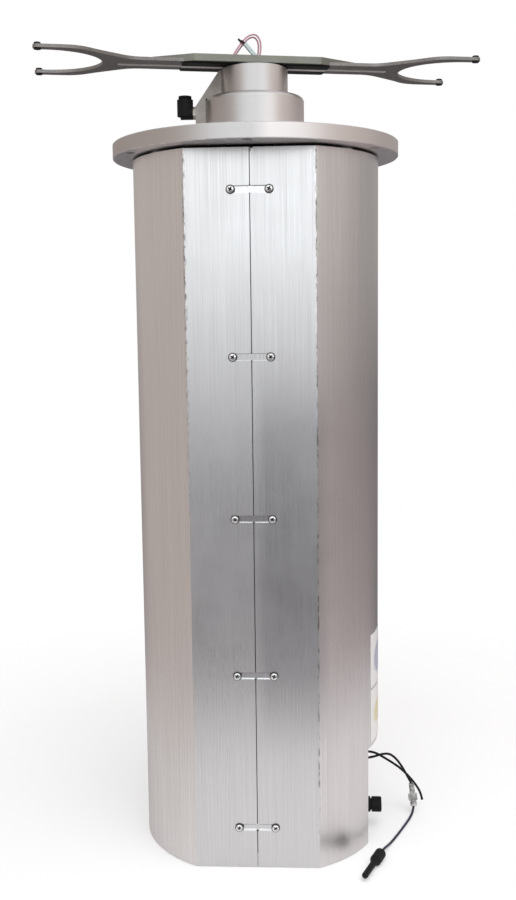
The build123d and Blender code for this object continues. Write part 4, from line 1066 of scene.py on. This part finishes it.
def head_profile():
    """Radius and height of the head's outline, from its seat to its crown, towards -Y."""
    profile = [(HEAD_R * 0.97, 0.0), (HEAD_R, -0.0002)]
    for i in range(DOME_STEPS):
        turn = math.radians(88 * i / (DOME_STEPS - 1))
        radius = HEAD_R * (CROWN + (1 - CROWN) * math.cos(turn))
        profile.append((radius, -FOOT_H - (HEAD_H - FOOT_H) * math.sin(turn)))
    return profile


def cross_bar(edit, upright):
    """One tapered bar of the cross, standing or lying."""
    for corner in bmesh.ops.create_cube(edit, size=1.0)["verts"]:
        at_top = corner.co.y < 0
        shares = CROSS_TOP if at_top else CROSS_FLOOR
        half_length, half_width = (HEAD_R * share for share in shares)
        x, z = (half_width, half_length) if upright else (half_length, half_width)
        y = -HEAD_H - CROSS_CLEAR if at_top else -HEAD_H + CROSS_DEPTH
        corner.co = Vector((math.copysign(x, corner.co.x), y, math.copysign(z, corner.co.z)))


def plain_copy(holder):
    """Mesh of an object with its modifiers applied."""
    bpy.context.view_layer.update()
    evaluated = holder.evaluated_get(bpy.context.evaluated_depsgraph_get())
    return bpy.data.meshes.new_from_object(evaluated)


def pan_head():
    """Domed head with a cross recess; its seat is at the origin and it stands towards -Y."""
    edit = bmesh.new()
    turned_skin(edit, head_profile(), HEAD_SEGMENTS)
    solid = link_mesh("pan_head", finished_mesh(edit, "pan_head"))
    tool = bmesh.new()
    for upright in (False, True):
        cross_bar(tool, upright)
    cutter = link_mesh("cross_cutter", finished_mesh(tool, "cross_cutter"))
    cut = solid.modifiers.new("cross", "BOOLEAN")
    cut.operation = "DIFFERENCE"
    cut.solver = "EXACT"
    cut.use_self = True
    cut.object = cutter
    result = plain_copy(solid)
    bpy.data.objects.remove(solid)
    bpy.data.objects.remove(cutter)
    return result


pan_head_mesh = pan_head()
print("one pan head has", len(pan_head_mesh.polygons), "faces")

# %% [markdown]
# The grid is a Geometry Nodes tree with named inputs, so the rows and their spacing stay two
# numbers. A mesh grid gives the places, lying flat, and is stood upright in front of the facet.
# Each copy is turned by a seeded random angle, because no one lines up the crosses. Realize
# Instances makes the copies real faces, because an export drops bare instances.

# %% The screw grid's tree
QUARTER_TURN = 1.57
SCREW_INPUTS = {
    "Screw": "Object", "Rows": "Int", "Pitch": "Float", "Half Spacing": "Float",
    "First Row": "Float", "Seat": "Float", "Seed": "Int", "Finish": "Material",
}


def screw_places(kit, given):
    """The grid's points, upright on the facet."""
    height = kit.times(given["Pitch"], kit.less(given["Rows"], 1.0))
    grid = kit.add("GeometryNodeMeshGrid")
    kit.feed(kit.times(given["Half Spacing"], 2.0), grid.inputs["Size X"])
    kit.feed(height, grid.inputs["Size Y"])
    grid.inputs["Vertices X"].default_value = 2
    kit.feed(given["Rows"], grid.inputs["Vertices Y"])
    centre = kit.add("ShaderNodeCombineXYZ")
    kit.feed(kit.times(given["Seat"], -1.0), centre.inputs["Y"])
    kit.feed(kit.math("ADD", given["First Row"], kit.times(height, 0.5)), centre.inputs["Z"])
    stand = kit.add("GeometryNodeTransform")
    kit.feed(grid.outputs["Mesh"], stand.inputs["Geometry"])
    stand.inputs["Rotation"].default_value = (math.pi / 2, 0, 0)
    kit.feed(centre.outputs[0], stand.inputs["Translation"])
    return stand.outputs[0]


def screw_grid_tree():
    tree = bpy.data.node_groups.new("screws on a grid", "GeometryNodeTree")
    tree.interface.new_socket("Geometry", in_out="OUTPUT", socket_type="NodeSocketGeometry")
    for title, kind in SCREW_INPUTS.items():
        tree.interface.new_socket(title, in_out="INPUT", socket_type="NodeSocket" + kind)
    kit = Tree(tree)
    given = kit.add("NodeGroupInput").outputs
    source = kit.add("GeometryNodeObjectInfo")
    kit.feed(given["Screw"], source.inputs["Object"])
    turns = kit.add("FunctionNodeRandomValue", data_type="FLOAT_VECTOR")
    turns.inputs["Min"].default_value = (0, 0, 0)
    turns.inputs["Max"].default_value = (0, QUARTER_TURN, 0)
    kit.feed(given["Seed"], turns.inputs["Seed"])
    copies = kit.add("GeometryNodeInstanceOnPoints")
    kit.feed(screw_places(kit, given), copies.inputs["Points"])
    kit.feed(source.outputs["Geometry"], copies.inputs["Instance"])
    kit.feed(turns.outputs["Value"], copies.inputs["Rotation"])
    real = kit.add("GeometryNodeRealizeInstances")
    kit.feed(copies.outputs[0], real.inputs[0])
    paint = kit.add("GeometryNodeSetMaterial")
    kit.feed(real.outputs[0], paint.inputs["Geometry"])
    kit.feed(given["Finish"], paint.inputs["Material"])
    kit.feed(paint.outputs[0], kit.add("NodeGroupOutput").inputs[0])
    return tree


screw_tree = counted(screw_grid_tree())

# %% [markdown]
# An empty mesh holds the tree while it runs. Its inputs are set by each socket's identifier,
# which stays the same when a socket is renamed. The result is copied out as a plain mesh, and
# takes the place of the frame's own ten simple screws.

# %% Ten screw heads


def run_tree(name, tree, values):
    """Runs a tree on an empty mesh with the given inputs and returns the plain mesh."""
    holder = link_mesh(name + "_holder", bpy.data.meshes.new(name + "_holder"))
    modifier = holder.modifiers.new("nodes", "NODES")
    modifier.node_group = tree
    for item in tree.interface.items_tree:
        if item.item_type == "SOCKET" and item.in_out == "INPUT":
            modifier[item.identifier] = values[item.name]
    holder.update_tag()
    mesh = plain_copy(holder)
    mesh.name = name
    holder.modifiers.clear()
    bpy.data.objects.remove(holder)
    return mesh


pan_head_source = link_mesh("pan_head_source", pan_head_mesh)
screw_mesh = run_tree("cover_screw_heads", screw_tree, {
    "Screw": pan_head_source, "Rows": ROWS, "Pitch": ROW_PITCH, "Half Spacing": COLUMN_HALF,
    "First Row": FIRST_ROW, "Seat": FACET, "Seed": 3, "Finish": plated_screw,
})
bpy.data.objects.remove(pan_head_source)
cover_screw_heads = link_mesh("cover_screw_heads", screw_mesh)
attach(cover_screw_heads, "frame")
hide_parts("cover_screws")
print(len(screw_mesh.polygons), "faces in ten screw heads")

# %% [markdown]
# ## Loose leads
#
# Two thin leads come out of the grommet, arch over and drop. One is spliced to a third that
# runs along the floor to a small plug. A lead has one fixed length, so it is a curve: its few
# control points are the route, and the curve gets its thickness from a round bevel.

# %% Leads as curves
MM = 0.001


def metres(point):
    """A point given in millimetres."""
    return tuple(value * MM for value in point)


def lead_curve(name, points, diameter, material):
    """Round lead that follows the pull of its points, given in millimetres."""
    data = bpy.data.curves.new(name, "CURVE")
    data.dimensions = "3D"
    spline = data.splines.new("NURBS")
    spline.points.add(len(points) - 1)
    for control, spot in zip(spline.points, points):
        control.co = (*metres(spot), 1.0)
    spline.order_u = 3
    spline.use_endpoint_u = True
    spline.resolution_u = 12
    data.bevel_depth = diameter * MM / 2
    data.bevel_resolution = 5
    data.use_fill_caps = True
    data.materials.append(material)
    made = bpy.data.objects.new(name, data)
    bpy.context.scene.collection.objects.link(made)
    return made


print("a lead is a NURBS curve of order 3 with a round bevel")

# %% [markdown]
# The routes were chosen point by point, to follow how the real leads lie. The long one
# ends bare beside the splice, the short one ends in it, and the tail leaves it for the plug.

# %% Three loose leads
LEAD_D = 2.5
LONG_ROUTE = [(103.0, 28.0, 64.0), (112.0, 28.0, 64.4), (121.0, 27.6, 62.6), (130.0, 27.6, 57.0),
              (140.4, 27.6, 50.6), (149.6, 27.4, 43.4), (157.6, 27.0, 35.0), (164.4, 26.0, 26.4),
              (168.6, 24.8, 19.0), (169.8, 24.0, 12.4)]
SHORT_ROUTE = [(103.0, 22.0, 59.4), (111.0, 22.0, 59.2), (119.0, 21.8, 61.2), (127.0, 21.8, 64.0),
               (134.6, 21.8, 64.4), (141.0, 22.0, 59.6), (147.2, 22.2, 51.4), (152.6, 22.2, 41.6),
               (158.0, 22.0, 31.4)]
TAIL_ROUTE = [(160.4, 18.6, 8.4), (159.2, 13.6, 4.7), (156.6, 6.2, 2.5), (152.6, -3.6, 1.5),
              (146.8, -17.8, 1.4), (139.6, -35.0, 1.4), (131.6, -53.0, 1.5), (127.2, -63.4, 3.1),
              (123.4, -73.4, 5.6), (119.8, -82.6, 5.6)]

lead_long = lead_curve("lead_long_curve", LONG_ROUTE, LEAD_D, black_insulation)
lead_short = lead_curve("lead_short_curve", SHORT_ROUTE, LEAD_D, black_insulation)
lead_tail = lead_curve("lead_tail_curve", TAIL_ROUTE, LEAD_D, blue_insulation)
for lead, node, slot in ((lead_long, "lead_long", "black_lead"),
                         (lead_short, "lead_short", "black_lead"),
                         (lead_tail, "lead_tail", "blue_black_lead")):
    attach(lead, "frame")
    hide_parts(node)
print("three leads of", LEAD_D, "mm; the tail has", len(TAIL_ROUTE), "points")

# %% [markdown]
# The little loop on the bar is two thinner leads side by side. They leave the clamp, arch up
# and go back in, tied to a small connector on the way. They ride on the spindle.

# %% Sensor loop
ARM_REST = math.radians(13.3)
ARM_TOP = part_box("arm_block")[1].z / MM
LOOP_D = 1.6
OUTER_LOOP = [(-21.0, 1.0, 0.0), (-21.0, 1.0, 4.6), (-17.0, 1.0, 10.6), (-12.2, 1.0, 17.2),
              (-5.8, 1.0, 23.8), (2.0, 1.0, 25.6), (6.6, 1.0, 19.4), (6.8, 1.0, 10.4),
              (5.6, 1.0, 5.0), (5.6, 1.0, 0.0)]
INNER_LOOP = [(-18.9, 3.2, 0.0), (-18.9, 3.2, 4.2), (-15.1, 3.2, 9.8), (-10.5, 3.2, 16.0),
              (-4.7, 3.2, 21.9), (1.3, 3.2, 23.3), (4.8, 3.2, 17.8), (4.8, 3.2, 10.2),
              (3.7, 3.2, 5.0), (3.7, 3.2, 0.0)]


def on_bar(points):
    """Points along the bar, across it and above its top, turned to where the bar rests."""
    turned = []
    for along, across, above in points:
        x = along * math.cos(ARM_REST) - across * math.sin(ARM_REST)
        y = along * math.sin(ARM_REST) + across * math.cos(ARM_REST)
        turned.append((x, y, ARM_TOP + above))
    return turned


for name, node, route, length in (("loop_outer_curve", "loop_lead_outer", OUTER_LOOP, 0.0630),
                                  ("loop_inner_curve", "loop_lead_inner", INNER_LOOP, 0.0564)):
    spots = on_bar(route)
    loop = lead_curve(name, spots, LOOP_D, pink_insulation)
    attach(loop, "spindle")
    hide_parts(node)
print("two loops on the bar, whose top is", round(ARM_TOP, 2), "mm up")

# %% [markdown]
